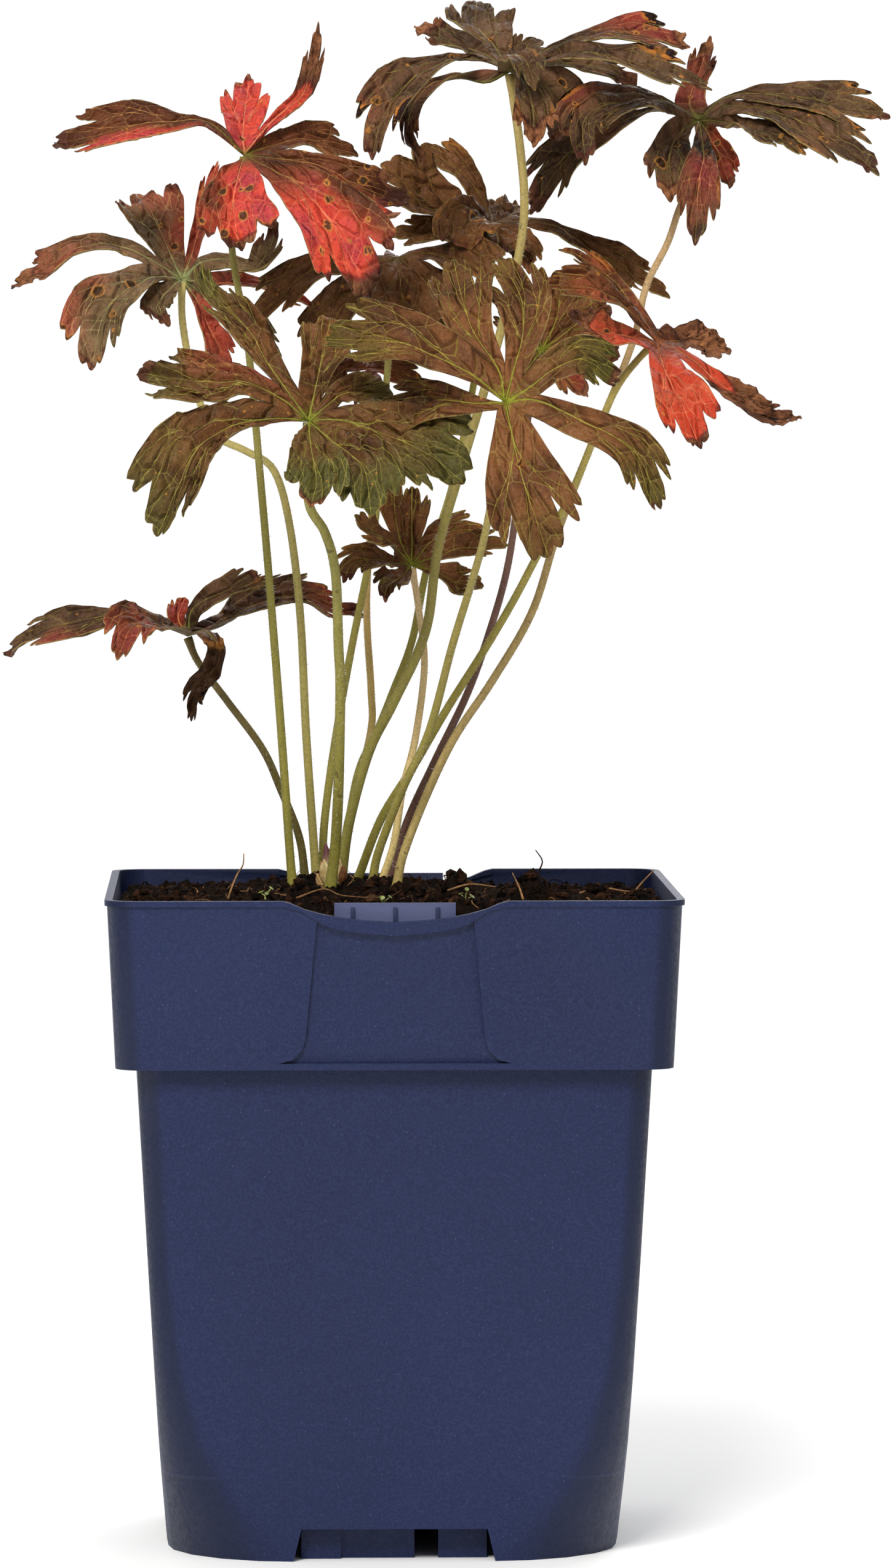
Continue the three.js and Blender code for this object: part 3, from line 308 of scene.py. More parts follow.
# each clod: where it lies, and how high it stands
CLODS = [(-56, -49, 3.2), (-48, -45, 2.6), (-30, -48, 1.6), (-20, -38, 5), (4, -44, 3.4), (14, -38, 6.5),
         (31, -33, 6.5), (37, -37, 3.5), (47, -46, 2.8), (56, -43, 3.4), (-42, -30, 3), (-4, -30, 4)]
CLOD_REACH = 2.9
CLOD_CRUMBS = 20
CLOD_CRUMB_SIZES = (0.5, 1.5)
TWIG_RADII = [0.28, 0.22, 0.12]
# each twig: its tone, and the points that it goes through
TWIGS = [
    (0.97, [(-37.5, -45, 149), (-36.5, -45, 152), (-35.2, -44, 155), (-34, -44, 157), (-33.8, -43, 159.5)]),
    (0.3, [(35, -35, 149), (34.8, -33, 152.5), (33, -32, 154), (34, -31, 157), (32.5, -30, 159.5)]),
    (0.98, [(29, -50, 149.4), (28.2, -49, 152), (26.6, -49, 155.4)]),
    (0.93, [(55, -30, 150), (57, -30, 152.4), (59.5, -30, 155)]),
    (0.95, [(42, -42, 150.4), (47, -42, 151.6), (53, -42, 150.8), (58, -42, 151.4)]),
    (0.9, [(-22, -52, 150), (-16, -52, 152), (-12, -52, 150.6), (-6, -51, 150)]),
    (0.94, [(12, -48, 151.4), (17, -48, 152.8), (23, -48, 152.2)]),
]


def soil_height(x, y):
    """The lie of the compost: a heap and clods on a lumpy level, and a ridge behind the front rim."""
    away = ((x - HEAP_CENTRE[0]) ** 2 + (y - HEAP_CENTRE[1]) ** 2) / (2 * HEAP_SPREAD ** 2)
    lumps = (0.9 * np.sin(0.31 * x + 1.3) * np.cos(0.27 * y - 0.4)
             + 0.7 * np.sin(0.53 * x - 0.49 * y) + 0.5 * np.cos(0.71 * x + 0.62 * y + 2))
    ridge = RIDGE_HEIGHT * np.exp(-((y - RIDGE_LINE) ** 2) / 160) * (0.7 + 0.3 * np.sin(0.16 * x + 0.5))
    inwards, forwards = (np.abs(x) - SLOT[0]) / SLOT_SOFTNESS, (y - SLOT[1]) / SLOT_SOFTNESS
    slot = 1 / ((1 + np.exp(inwards)) * (1 + np.exp(forwards)))
    clods = sum(height * np.exp(-((x - clod_x) ** 2 + (y - clod_y) ** 2) / (2 * CLOD_REACH ** 2))
                for clod_x, clod_y, height in CLODS)
    return SOIL_EDGE + SOIL_HEAP * np.exp(-away) + lumps + ridge + clods - SLOT_DEPTH * slot


def ripple(rng, place, scale, waves):
    """Smooth random relief, about -1 to 1: a sum of waves of random direction, length and phase."""
    total = np.zeros(place.shape[:-1])
    for _ in range(waves):
        heading = rng.normal(size=place.shape[-1])
        heading *= rng.uniform(0.6, 1.7) / scale / np.linalg.norm(heading)
        total += np.sin(2 * np.pi * (place @ heading) + rng.uniform(0, 6.28))
    return total / waves ** 0.5 / 1.6


def grid_faces(rows, columns, around=False):
    """Quads between neighbouring points of a grid, its columns joined up where it goes around."""
    row, column = np.meshgrid(
        np.arange(rows - 1), np.arange(columns if around else columns - 1), indexing="ij",
    )
    beside = (column + 1) % columns
    corners = (row * columns + column, row * columns + beside,
               (row + 1) * columns + beside, (row + 1) * columns + column)
    return np.stack(corners, axis=-1).reshape(-1, 4)


def outer_points(rows, columns):
    """The numbers of the points round a grid's rim."""
    numbers = np.arange(rows * columns).reshape(rows, columns)
    return np.concatenate([numbers[0], numbers[1:, -1], numbers[-1, -2::-1], numbers[-2:0:-1, 0]])


def capped(rings, sides):
    """The faces of a closed body whose points lie in rings, end on end."""
    last = (rings - 1) * sides
    faces = grid_faces(rings, sides, around=True).tolist()
    return faces + [list(range(sides))[::-1], list(range(last, last + sides))]


def add_piece(name, points, faces, finish, looks=None, smooth=True):
    """A mesh object from points in millimetres, faces, and one value a point for each of its looks."""
    mesh = bpy.data.meshes.new(name)
    mesh.from_pydata(np.asarray(points) * MM, [], [list(face) for face in faces])
    for key, values in (looks or {}).items():
        layer = mesh.attributes.new(key, "FLOAT", "POINT")
        layer.data.foreach_set("value", np.asarray(values, np.float32).ravel())
    mesh.polygons.foreach_set("use_smooth", np.full(len(mesh.polygons), smooth))
    mesh.materials.append(finish)
    mesh.update()
    piece = bpy.data.objects.new(name, mesh)
    scene.collection.objects.link(piece)
    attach(piece, "root")
    return piece


def look(shader, name):
    """What a mesh holds at each point under that name."""
    return wired(shader.id_data, "Attribute", output="Fac", attribute_name=name)


soil_finish, shader, place = new_finish("peat_compost", roughness=0.95, specular=0.05)
grain = noise(place, 420, 6)
peat = layered(mixed(grain.step(0.3, 0.7), "070504", "1a120d"),
               (noise(place, 70, 4).step(0.45, 0.75, 0, 0.5), "281b10"))
feed(shader, {"Base Color": peat, "Normal": bump(grain, 0.0009, 0.9)})

rng = np.random.default_rng(4)
side = np.linspace(-SOIL_HALF, SOIL_HALF, SOIL_STEPS)
x, y = np.meshgrid(side, side, indexing="ij")
squareness = np.maximum(np.abs(x * y) / SOIL_HALF ** 2 - CORNER_START, 0) / (1 - CORNER_START)
x, y = x * (1 - CORNER_DRAW * squareness), y * (1 - CORNER_DRAW * squareness)
flat = np.stack([x, y], axis=-1)
crumbly = sum(height * ripple(rng, flat, scale, waves) for height, scale, waves in SOIL_WAVES)
top = np.stack([x, y, soil_height(x, y) + crumbly - 0.2], axis=-1).reshape(-1, 3)
edge = outer_points(SOIL_STEPS, SOIL_STEPS)
foot = top[edge] * (SOIL_TAPER, SOIL_TAPER, 0) + (0, 0, SOIL_FOOT)
ring = len(top) + np.arange(len(edge))
wall = np.stack([edge, np.roll(edge, -1), np.roll(ring, -1), ring], axis=-1)
surface = grid_faces(SOIL_STEPS, SOIL_STEPS)
soil_faces = [*surface[:, ::-1].tolist(), *wall.tolist(), ring.tolist()]
soil = add_piece("compost_bed", np.concatenate([top, foot]), soil_faces, soil_finish)
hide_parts("soil")

crumb_finish, shader, place = new_finish("peat_crumbs", roughness=0.95, specular=0.05)
grain = noise(place, 900, 4)
tone = look(shader, "tone")
peat = layered(mixed(tone, "0a0604", "40281a"), (tone.step(0.8, 1), "a47c54"),
               (grain.step(0.35, 0.7, 0, 0.45), "0a0604"))
feed(shader, {"Base Color": peat, "Normal": bump(grain, 0.0005, 0.8)})


def scattered(rng, count, spread=0.96):
    """Random places on the compost, more of them near the front, where they show."""
    x = rng.uniform(-1, 1, count) * SOIL_HALF * spread
    y = (rng.uniform(0, 1, count) ** FRONT_CROWDING * 2 - 1) * SOIL_HALF * spread
    in_slot = (np.abs(x) < SLOT[0] + 3) & (y < SLOT[1] + 2.5)
    return x, np.where(in_slot, y + 12, y)


# a crumb is a rough six-sided lump, wider than tall; the first ones lie together on the clods
x, y = scattered(rng, CRUMBS)
size = rng.gamma(1.7, 0.34, CRUMBS).clip(*CRUMB_SIZES)
clods = np.repeat(np.asarray(CLODS, float), CLOD_CRUMBS, axis=0)
x[:len(clods)], y[:len(clods)] = (clods[:, :2] + rng.normal(0, CLOD_REACH * 0.8, (len(clods), 2))).T
size[:len(clods)] = rng.uniform(*CLOD_CRUMB_SIZES, len(clods))
polar = np.linspace(0.12, np.pi - 0.12, CRUMB_RINGS)[None, :, None]
turn = np.linspace(0, 2 * np.pi, CRUMB_SIDES, endpoint=False)[None, None, :]
lump = np.stack(np.broadcast_arrays(
    np.sin(polar) * np.cos(turn), np.sin(polar) * np.sin(turn), CRUMB_FLATNESS * np.cos(polar),
), axis=-1)
lump = lump * rng.uniform(0.65, 1.25, (CRUMBS, CRUMB_RINGS, CRUMB_SIDES, 1))
lump = lump * size[:, None, None, None] * rng.uniform(0.7, 1.3, (CRUMBS, 1, 1, 3))
resting = np.stack([x, y, soil_height(x, y) + 0.25 * size], axis=-1)
points = (lump + resting[:, None, None, :]).reshape(-1, 3)
per_crumb = CRUMB_RINGS * CRUMB_SIDES
one_crumb = [face[::-1] for face in capped(CRUMB_RINGS, CRUMB_SIDES)]
starts = range(0, CRUMBS * per_crumb, per_crumb)
faces = [[start + i for i in face] for start in starts for face in one_crumb]
tones = np.repeat(0.85 * rng.uniform(0, 1, CRUMBS) ** 2, per_crumb)
add_piece("compost_crumbs", points, faces, crumb_finish, {"tone": tones}, smooth=False)


CURVE_STEPS = 40
BEYOND = 0.12
BESIDE = 0.015                 # how far off, by length, the points are that give a curve's direction


def spline(points, steps):
    """A uniform Catmull-Rom curve through points, read at even steps by length and 12% beyond it.

    Returns the places, the unit directions and the length; step values run from 0 to 1.12."""
    points = np.asarray(points, float)
    held = np.concatenate([[2 * points[0] - points[1]], points, [2 * points[-1] - points[-2]]])
    u = np.linspace(0, 1, CURVE_STEPS, endpoint=False)[:, None]
    runs = []
    for before, start, end, after in zip(held, held[1:], held[2:], held[3:]):
        leave, arrive = 0.5 * (end - before), 0.5 * (after - start)
        runs.append(
            start + leave * u + (3 * (end - start) - 2 * leave - arrive) * u ** 2
            + (2 * (start - end) + leave + arrive) * u ** 3
        )
    path = np.concatenate([*runs, [points[-1]]])
    gone = np.concatenate([[0], np.cumsum(np.linalg.norm(np.diff(path, axis=0), axis=1))])
    length = gone[-1]
    last = path[-1] - path[-2]
    path = np.concatenate([path, [path[-1] + last * BEYOND * length / np.linalg.norm(last)]])
    gone = np.append(gone, (1 + BEYOND) * length)

    def at(wanted):
        return np.stack([np.interp(wanted, gone, path[:, axis]) for axis in range(3)], axis=-1)
    wanted = np.asarray(steps, float) * length
    beside = BESIDE * length
    return at(wanted), unit(at(wanted + beside) - at(wanted - beside)), length


def unit(vectors):
    """Vectors brought to length one."""
    return vectors / np.linalg.norm(vectors, axis=-1, keepdims=True)


ASKEW = (0.2, -1.0, 0.1)       # a line that no stem follows: its rings start at right angles to it


def rings_along(place, heading, radius, sides):
    """A round tube's points, in rings across the headings at its places, and its faces."""
    first = unit(np.cross(heading, ASKEW))
    second = np.cross(heading, first)
    turn = np.linspace(0, 2 * np.pi, sides, endpoint=False)[None, :, None]
    rings = place[:, None] + radius * (np.cos(turn) * first[:, None] + np.sin(turn) * second[:, None])
    return rings.reshape(-1, 3), capped(len(place), sides)


def tube(points, radii, sides, steps):
    """A round tube along a curve: its radius goes through the radii. Returns points and faces."""
    along = np.linspace(0, 1, steps)
    place, heading, _ = spline(points, along)
    radius = np.interp(along, np.linspace(0, 1, len(radii)), radii)[:, None, None]
    return rings_along(place, heading, radius, sides)


def gathered(parts):
    """Several points-and-faces pairs as one, and how many points each had."""
    counts = [len(points) for points, _ in parts]
    starts = np.cumsum([0, *counts]).tolist()
    faces = [[start + i for i in face] for start, (_, part) in zip(starts, parts) for face in part]
    return np.concatenate([points for points, _ in parts]), faces, counts


# bark fibres are short bent three-sided threads that lie on the compost
strands = []
inside = SOIL_HALF * 0.97
steps = np.linspace(0, 1, 4)
for start_x, start_y in zip(*scattered(rng, FIBRES, 0.93)):
    bearing = rng.uniform(0, np.pi * 2)
    reach = rng.gamma(3, 1.5)
    bend = rng.normal(0, 0.35, 4) * reach * 0.4
    x = (start_x + np.cos(bearing) * steps * reach - np.sin(bearing) * bend).clip(-inside, inside)
    y = (start_y + np.sin(bearing) * steps * reach + np.cos(bearing) * bend).clip(-inside, inside)
    lift = soil_height(x, y) + rng.uniform(0.2, 1.2, 4)
    thickness = rng.uniform(0.08, 0.26)
    strands.append(tube(np.stack([x, y, lift], axis=-1), [thickness, thickness * 0.6], 3, 9))
strands += [tube(path, TWIG_RADII, 5, 24) for _, path in TWIGS]
points, faces, counts = gathered(strands)
tones = rng.uniform(0.2, 1.0, len(counts)) ** 1.5
tones[FIBRES:] = [tone for tone, _ in TWIGS]
add_piece("bark_fibres", points, faces, crumb_finish, {"tone": np.repeat(tones, counts)})


# ---- Seedlings -------------------------------------------------------------------------------
# A few liverwort-green seedlings stand on the compost, each a short stem with three round, thin,
# cupped leaves.
SEEDLINGS = [(-29, -52), (-2.5, -51), (16, -49)]
SEEDLING_LEAVES = 3
SEEDLING_STEM = [0.2, 0.14]

green_finish, shader, place = new_finish("seedling_green", roughness=0.5)
feed(shader, {"Base Color": mixed(noise(place, 600).step(0.35, 0.65), "5a6630", "98a058")})


def dish(centre, facing, radius, rows=4, sides=9):
    """A round, cupped leaf with a thin edge: rings of points over and under a disc."""
    facing = unit(np.asarray(facing, float))
    right = unit(np.cross(facing, (0.3, 0.8, 0.1)))
    upward = np.cross(right, facing)
    reach = np.concatenate([np.linspace(0.08, 1, rows), np.linspace(1, 0.08, rows)])[:, None, None]
    over = np.repeat([1, -1], rows)[:, None, None]
    turn = np.linspace(0, 2 * np.pi, sides, endpoint=False)[:, None]
    height = 0.35 * radius * reach ** 2 + 0.06 * over
    rings = (centre + reach * radius * np.cos(turn) * right + reach * radius * np.sin(turn) * upward
             + height * facing)
    return rings.reshape(-1, 3), capped(2 * rows, sides)


sprouts = []
for x, y in SEEDLINGS:
    ground = float(soil_height(np.array(x), np.array(y)))
    for k in range(SEEDLING_LEAVES):
        bearing = k * 2.4 + rng.uniform(-0.4, 0.4)
        reach = rng.uniform(0.8, 2.0)
        height = rng.uniform(1.2, 3)
        end = np.array([x + reach * np.cos(bearing), y + reach * np.sin(bearing), ground + height])
        sprouts.append(tube([(x, y, ground - 1), (x, y, ground + 0.6), end], SEEDLING_STEM, 5, 6))
        sprouts.append(dish(end, (np.cos(bearing), np.sin(bearing) - 0.4, 1.3), rng.uniform(0.4, 0.8)))
points, faces, _ = gathered(sprouts)
add_piece("seedlings", points, faces, green_finish)


# ---- Crown -----------------------------------------------------------------------------------
# The plant's short rootstock breaks the surface as a cluster of papery cream and rust scales, with
# one purple bud. Each scale is a thin cupped sheet round the crown, ribbed along its length.
CROWN_CENTRE = np.array([-13.6, -9.8, 0])
CROWN_RADIUS = 1.7
CROWN_BASE = 149.0
# each scale: width, height, turn about the crown, outward lean, lift, rustiness
SCALES = [
    (3.4, 7.6, -0.5, 0.42, 0.6, 0.2), (3.6, 6.4, 0.9, 0.45, 0.2, 0.9), (3.2, 6.6, 2.4, 0.2, 1.0, 0.3),
    (3.0, 6.4, -2.2, 0.25, 0.6, 0.8), (3.2, 5.2, -1.3, 0.5, -0.4, 0.5), (3.0, 4.6, 0.2, 0.55, -0.6, 0.1),
    (2.8, 8.6, 3.4, 0.1, 1.2, 0.4),
]
SCALE_THICKNESS = 0.28
BUD_FOOT, BUD_TOP = 150, 160
BUD_PATH = [(-14.2, -9.2, BUD_FOOT), (-14.6, -9.4, 156), (-15, -9.8, BUD_TOP)]
BUD_RADII = [1.5, 1.7, 1.2, 0.25]

scale_finish, shader, place = new_finish("papery_scales", roughness=0.65)
ribbing = noise(place, 500, 5)
ribs = ribbing.step(0.3, 0.7)
papery = layered(mixed(ribs, "b89c5e", "dccf9a"), (look(shader, "rust"), mixed(ribs, "743c1c", "b87438")),
                 (look(shader, "purple"), "5c2c2e"))
feed(shader, {"Base Color": papery, "Normal": bump(ribbing, 0.0004, 0.6)})


def crown_scale(width, height, turn, lean, lift):
    """A cupped sheet: it bulges outwards, narrows to a point and leans away from the crown."""
    along = np.linspace(0, 1, 15)[:, None]
    aside = np.linspace(-1, 1, 11)[None, :]
    half = width / 2 * (0.65 + 0.35 * np.sin(np.pi * along)) * (1 - 0.95 * along ** 4)
    reach = CROWN_RADIUS + 0.5 - 0.55 * aside ** 2 + 0.5 * np.sin(np.pi * along)
    ribs = 0.06 * np.cos(aside * 12) + 0.12 * np.sin(7 * along + 3 * aside + turn)
    out = reach + lean * along * height * 0.6 + ribs
    up = np.broadcast_to(CROWN_BASE + lift + along * height * np.cos(lean), out.shape)
    sheet = np.stack([half * aside, -out, up], axis=-1).reshape(-1, 3)
    cosine, sine = np.cos(turn), np.sin(turn)
    spin = np.array([[cosine, sine, 0], [-sine, cosine, 0], [0, 0, 1]])
    points = np.concatenate([sheet, sheet + (0, SCALE_THICKNESS, 0)]) @ spin + CROWN_CENTRE
    front, rim = grid_faces(*out.shape), outer_points(*out.shape)
    following = np.roll(rim, -1)
    band = np.stack([rim, rim + out.size, following + out.size, following], axis=-1)
    return points, [*front.tolist(), *(front[:, ::-1] + out.size).tolist(), *band.tolist()]


bud = tube(BUD_PATH, BUD_RADII, 14, 20)
points, faces, counts = gathered([crown_scale(*shape) for *shape, _ in SCALES] + [bud])
rust = np.repeat([*[rust for *_, rust in SCALES], 0], counts)
bud_height = (points[:, 2] - BUD_FOOT) / (BUD_TOP - BUD_FOOT)
is_bud = np.arange(len(points)) >= len(points) - counts[-1]
purple = np.where(is_bud, (bud_height * 1.6 - 0.2).clip(0, 1), 0)
looks = {"rust": rust, "purple": purple}
crown = add_piece("crown_scales", points, faces, scale_finish, looks)
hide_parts("crown")


# ---- Leaf places -----------------------------------------------------------------------------
# Thirteen leaves rise from the crown. The plant is laid out as a perspective elevation on the
# plane y = 0, drawn from the eye: a point (x, z, depth) is its place there, moved along the line
# of sight to its depth.
DEPTH_SCALE = 1.4


def in_space(layout):
    """Points of the elevation moved along the line of sight to their depths."""
    x, z, depth = np.asarray(layout, float).T
    y = depth * DEPTH_SCALE
    scale = 1 - y / EYE[1]
    return np.stack([EYE[0] + (x - EYE[0]) * scale, y, EYE[2] + (z - EYE[2]) * scale], axis=-1)


def leaf(hub, face, radius, stalk, lobes, **looks):
    """A leaf: its blade's hub, which way its upper side looks, and its stalk's radius at top and foot.

    The stalk runs from the hub through its points. The looks are how green the blade is, how many
    spots it has, how much its margins are burnt and how deeply it is puckered. Each lobe has them
    too, unless it has its own."""
    looks = {"hub": hub, "face": face, "burn": 0.5, "pucker": 0.4, **looks}
    return {"hub": hub, "face": face, "radius": radius, "stalk": stalk,
            "lobes": [{**looks, **one} for one in lobes]}


def lobe(widths, points, **looks):
    """A lobe of a blade, from the hub through its points, and its widths left and right of them.

    The looks are how red those halves are and where along the red sets in, from where it is dry,
    how deeply its end is cleft, how far out it parts from the next lobe, its own green or face,
    and its black blots: how far along and aside, and how wide in millimetres."""
    return {"widths": np.broadcast_to(widths, 2), "points": points, "red": 0, "turn": 0.2, "dry": 1.2,
            "cleft": 1, "web": 0.9, "blots": [], "slim": False, **looks}


def slim(widths, points, **looks):
    """A lobe whose end has fewer teeth."""
    return lobe(widths, points, slim=True, **looks)


LEAVES = {}
LEAVES["a"] = leaf((-33.5, 317.8, -10), (0, -0.8, 0.6), (0.75, 1), [
    (-36, 305.6, -10), (-36.1, 294.3, -10), (-32.7, 274.4, -10), (-29.8, 243.2, -10), (-27.4, 214.9, -10),
    (-25.1, 185.1, -9), (-23.2, 158.2, -8), (-22.5, 149.7, -8),
], [
    lobe(5.6, [(-41.7, 325.5, -12), (-50.2, 325.7, -14), (-61.5, 324.2, -12), (-77.5, 320, -8)],
         red=(0.95, -0.7), turn=0.4, dry=0.95, blots=[(0.62, 0.2, 0.9)]),
    slim((6.2, 6), [(-33.7, 324.7, -4), (-32.2, 336, 6)], red=(0.8, 0.9), turn=0, dry=0.94, cleft=1.4),
    slim((2, 2.3), [(-27.5, 325.5, -6), (-20.4, 331.8, -2), (-17.6, 339.6, 2), (-16.4, 348.6, 4)], red=0.7,
         turn=0, dry=0.62),
    slim(4, [(-27.5, 320, -5), (-19, 321.6, 0), (-7.1, 317.8, 5)], red=(0.05, 0.15)),
    lobe((4.4, 7.8), [(-25, 317, -10), (-16.2, 315.6, -12), (-4.8, 309.8, -12), (4.5, 307.9, -10)],
         red=(-0.2, 1), turn=0.6, dry=0.87, cleft=0.7, blots=[(0.55, -0.3, 1.1), (0.7, 0.3, 1.2)]),
    lobe((9.6, 8.6), [(-27, 314.5, -13), (-21, 311, -16), (-12.6, 301.4, -20), (-4.6, 285.5, -22)],
         red=(0.25, 1.5), turn=0.38, dry=0.91, blots=[(0.5, 0.3, 1.2), (0.62, -0.2, 1.3), (0.8, 0.3, 1.2),
         (0.72, -0.6, 0.9)]),
    lobe((8.2, 7.4), [(-35.4, 311.3, -16), (-36, 305.6, -19), (-34.4, 296.1, -22)], red=(1.2, 0.45),
         turn=0.15, dry=0.9, cleft=0.6, blots=[(0.45, 0.5, 1.2), (0.5, -0.4, 1.1), (0.72, 0.2, 1.3),
         (0.85, -0.3, 1.3)]),
], green=0.1, spots=0.5, burn=0.6)
LEAVES["b"] = leaf((-47.9, 289.2, 5), (0, -0.7, 0.7), (0.8, 1), [
    (-47.6, 278.7, 5), (-44.8, 264.5, 5), (-40.3, 253.9, 5), (-33.2, 250, 4), (-26.8, 245.6, 4),
    (-23.2, 233.3, 4), (-20.7, 212.1, 4), (-19.3, 183.7, 4), (-17.1, 152, 4),
], [
    slim(3.4, [(-50.9, 287.2, 0), (-53.7, 282.9, -4), (-50.5, 278.8, -5)], dry=0.85),
    lobe((4.8, 7.4), [(-53.7, 290, 0), (-60.1, 287.2, -6), (-65.8, 281.5, -10), (-68.7, 268.3, -12)],
         red=(-0.2, 0.7), turn=0.55, dry=0.96, blots=[(0.42, -0.1, 1.7), (0.6, -0.5, 1.5), (0.68, 0.4, 1)]),
    lobe(3.4, [(-54.4, 293.6, 3), (-61.5, 297.1, 2), (-68.6, 297.4, 0), (-74.3, 295.7, 0),
         (-79.9, 291.4, 2), (-87.5, 287.7, 5)], red=(0.6, 0.5), turn=0.5, dry=0.86),
    lobe(6.4, [(-51.3, 297.1, 8), (-54.4, 304.2, 12), (-57.5, 309, 16)], red=(0.3, 0.75), turn=0.3,
         dry=0.93, cleft=0.6, blots=[(0.32, -0.4, 1.1)]),
    lobe(1.9, [(-45.9, 294.3, 8), (-43.8, 301.4, 12), (-41.7, 309.9, 16), (-39.5, 316.7, 18)], red=0.9),
    lobe(2.6, [(-43.3, 293.4, 6), (-37.4, 294, 8), (-31.7, 292.1, 8), (-27.5, 297.1, 8), (-26.4, 303.9, 6)],
         red=0.1, dry=0.85),
    lobe(2.2, [(-41.7, 288.6, 8), (-33.2, 289, 12), (-27.5, 287.2, 16), (-16.9, 282.9, 20)], red=0.8),
    lobe(3.6, [(-42, 285.5, 8), (-36, 282.9, 10), (-30.3, 276.6, 12), (-25.4, 269.5, 14)], red=0.1),
    lobe((2.6, 4.2), [(-43.1, 282.9, 6), (-41, 277.3, 8), (-36, 268, 10)], red=(0.8, 1), dry=0.92),
], green=0.15, spots=0.35, burn=0.7)
LEAVES["c"] = leaf((27.6, 337.1, 0), (0.1, -0.6, 0.8), (0.95, 1.2), [
    (29.9, 319.8, 0), (30.9, 305.6, -1), (28.9, 291.4, -2), (23.5, 270.2, -3), (17.2, 248.9, -6),
    (11.1, 227.7, -8), (8.2, 208.5, -8), (0.9, 192.2, -7), (-4.8, 180.9, -5), (-9.4, 164.6, -4),
    (-11.2, 152, -3),
], [
    lobe((3.8, 6), [(22.1, 339.6, 0), (16.4, 340.1, -4), (10.8, 338.9, -9), (5.1, 335.4, -13),
         (0.1, 329.7, -17), (-2.7, 324, -20), (-4.1, 316.7, -22)], red=(0.15, 0.45), turn=0.7, dry=0.96,
         blots=[(0.28, -0.3, 0.9), (0.75, -0.4, 1.3)]),
    lobe(4, [(20.7, 341.6, 2), (13.5, 344, 2), (5.4, 347.2, 2)], red=0.1, dry=0.85),
    lobe((6.6, 8), [(23.6, 343.4, 8), (19.8, 347.8, 15), (20, 353, 22)], red=(0.05, 0.1)),
    slim(4, [(30.5, 341.5, 6), (35, 344.5, 10)]),
    lobe((3.4, 4.4), [(34.9, 338.5, 5), (43.4, 339.2, 8), (51.9, 336.4, 9), (57.5, 332.9, 9)], dry=0.9),
    lobe((4.6, 6.4), [(36, 342.3, -1), (44.8, 345.4, -3), (57, 346, -5), (69, 342.6, -4)], red=(0.75, 0.3),
         turn=0.55, dry=0.96, blots=[(0.5, 0.4, 0.9), (0.62, -0.2, 1.1), (0.76, 0.3, 1)]),
    lobe((4.6, 6), [(35.5, 339.5, -2), (44.8, 341.9, -8), (59, 338.6, -12), (74.3, 333.4, -12)],
         red=(0.1, 0.3), turn=0.7, dry=0.96),
    lobe((7, 6.8), [(33.5, 335, -3), (38.4, 331.5, -4), (39, 321.3, -1)], red=(0, 0.2), turn=0.6, dry=0.9,
         cleft=0.6, blots=[(0.5, 0.5, 1), (0.7, -0.5, 0.9)]),
    slim(4.6, [(30.6, 335, -4), (32.6, 330, -8), (33.2, 319.8, -10)], red=0.1, dry=0.8),
    slim(3.4, [(28.5, 341, -5), (31.5, 339, -10), (33.5, 333, -12)], face=(0, -0.8, 0.6)),
    lobe(1.9, [(22.4, 334.6, -1), (16.4, 335.8, 1), (11, 335, 1), (6.9, 331.8, -1), (4.4, 326.6, -4),
         (4.8, 320.9, -6), (7.7, 315.8, -7)], red=0.4, dry=0.78),
], green=0.3, spots=0.45, burn=1.6)
LEAVES["d"] = leaf((71, 325.9, 10), (0.1, -0.75, 0.65), (0.75, 1), [
    (71.2, 315.5, 10), (66.8, 306.3, 9), (63.9, 297.8, 9), (59, 287.9, 9), (56.4, 276.6, 8),
    (51.9, 264.5, 8), (45.5, 249.2, 7), (38.4, 230.5, 5), (32.7, 212.8, 2), (23.5, 196.9, 0),
    (14.7, 183.7, -3), (7.9, 169.5, -6), (3, 156.8, -8), (1.6, 150, -8),
], [
    slim(5.2, [(65.8, 322.2, 5), (63.8, 314.4, -1), (64.6, 307.6, -4)], red=(0.1, 0.3), dry=0.88,
         blots=[(0.68, -0.3, 1.6)]),
    lobe((5, 6), [(63.2, 330.4, 4), (53.3, 330.4, -2), (44.8, 326.2, -6), (45.2, 315.8, -8)],
         red=(0.15, 0.45), turn=0.55, dry=0.93),
    lobe((4.4, 5.6), [(60.4, 328.3, 10), (49, 323.3, 12), (39.1, 315.5, 14), (32.3, 304.2, 14)],
         red=(0.25, 0.2), dry=0.92),
    slim(2.8, [(68.9, 330.4, 14), (71, 336.8, 18), (73.8, 345.3, 20)], red=0.5, dry=0.8),
    lobe((5, 6.4), [(77.4, 331.4, 8), (87.3, 332.4, 4), (98.7, 330.6, 1), (115.2, 326.8, -2)],
         red=(0.1, 0.15), dry=0.97, blots=[(0.55, -0.3, 0.9)]),
    lobe((5.4, 7), [(77.4, 329.2, 7), (87.3, 328.4, 1), (98.7, 323.8, -5), (112.8, 313.8, -10)],
         red=(0.2, 0.3), turn=0.7, dry=0.97, blots=[(0.5, 0.4, 1), (0.72, -0.3, 1.1)]),
    lobe((3.4, 4), [(77.6, 325.6, 6), (84.8, 324, -1), (91.6, 320.8, -7), (95.8, 318.2, -9)], red=0.1),
    slim((3.2, 3.4), [(75, 320, 7), (78.4, 310.4, 6)], red=(0.7, 0.6), dry=0.9, blots=[(0.4, 0.3, 0.8),
         (0.6, -0.3, 0.9)]),
    slim(4.4, [(72.2, 318.1, 0), (71, 311.3, -5), (70.3, 297.4, -9)], red=0.45, dry=0.95,
         blots=[(0.35, 0.2, 0.8)]),
], green=0.3, spots=0.45, burn=1)
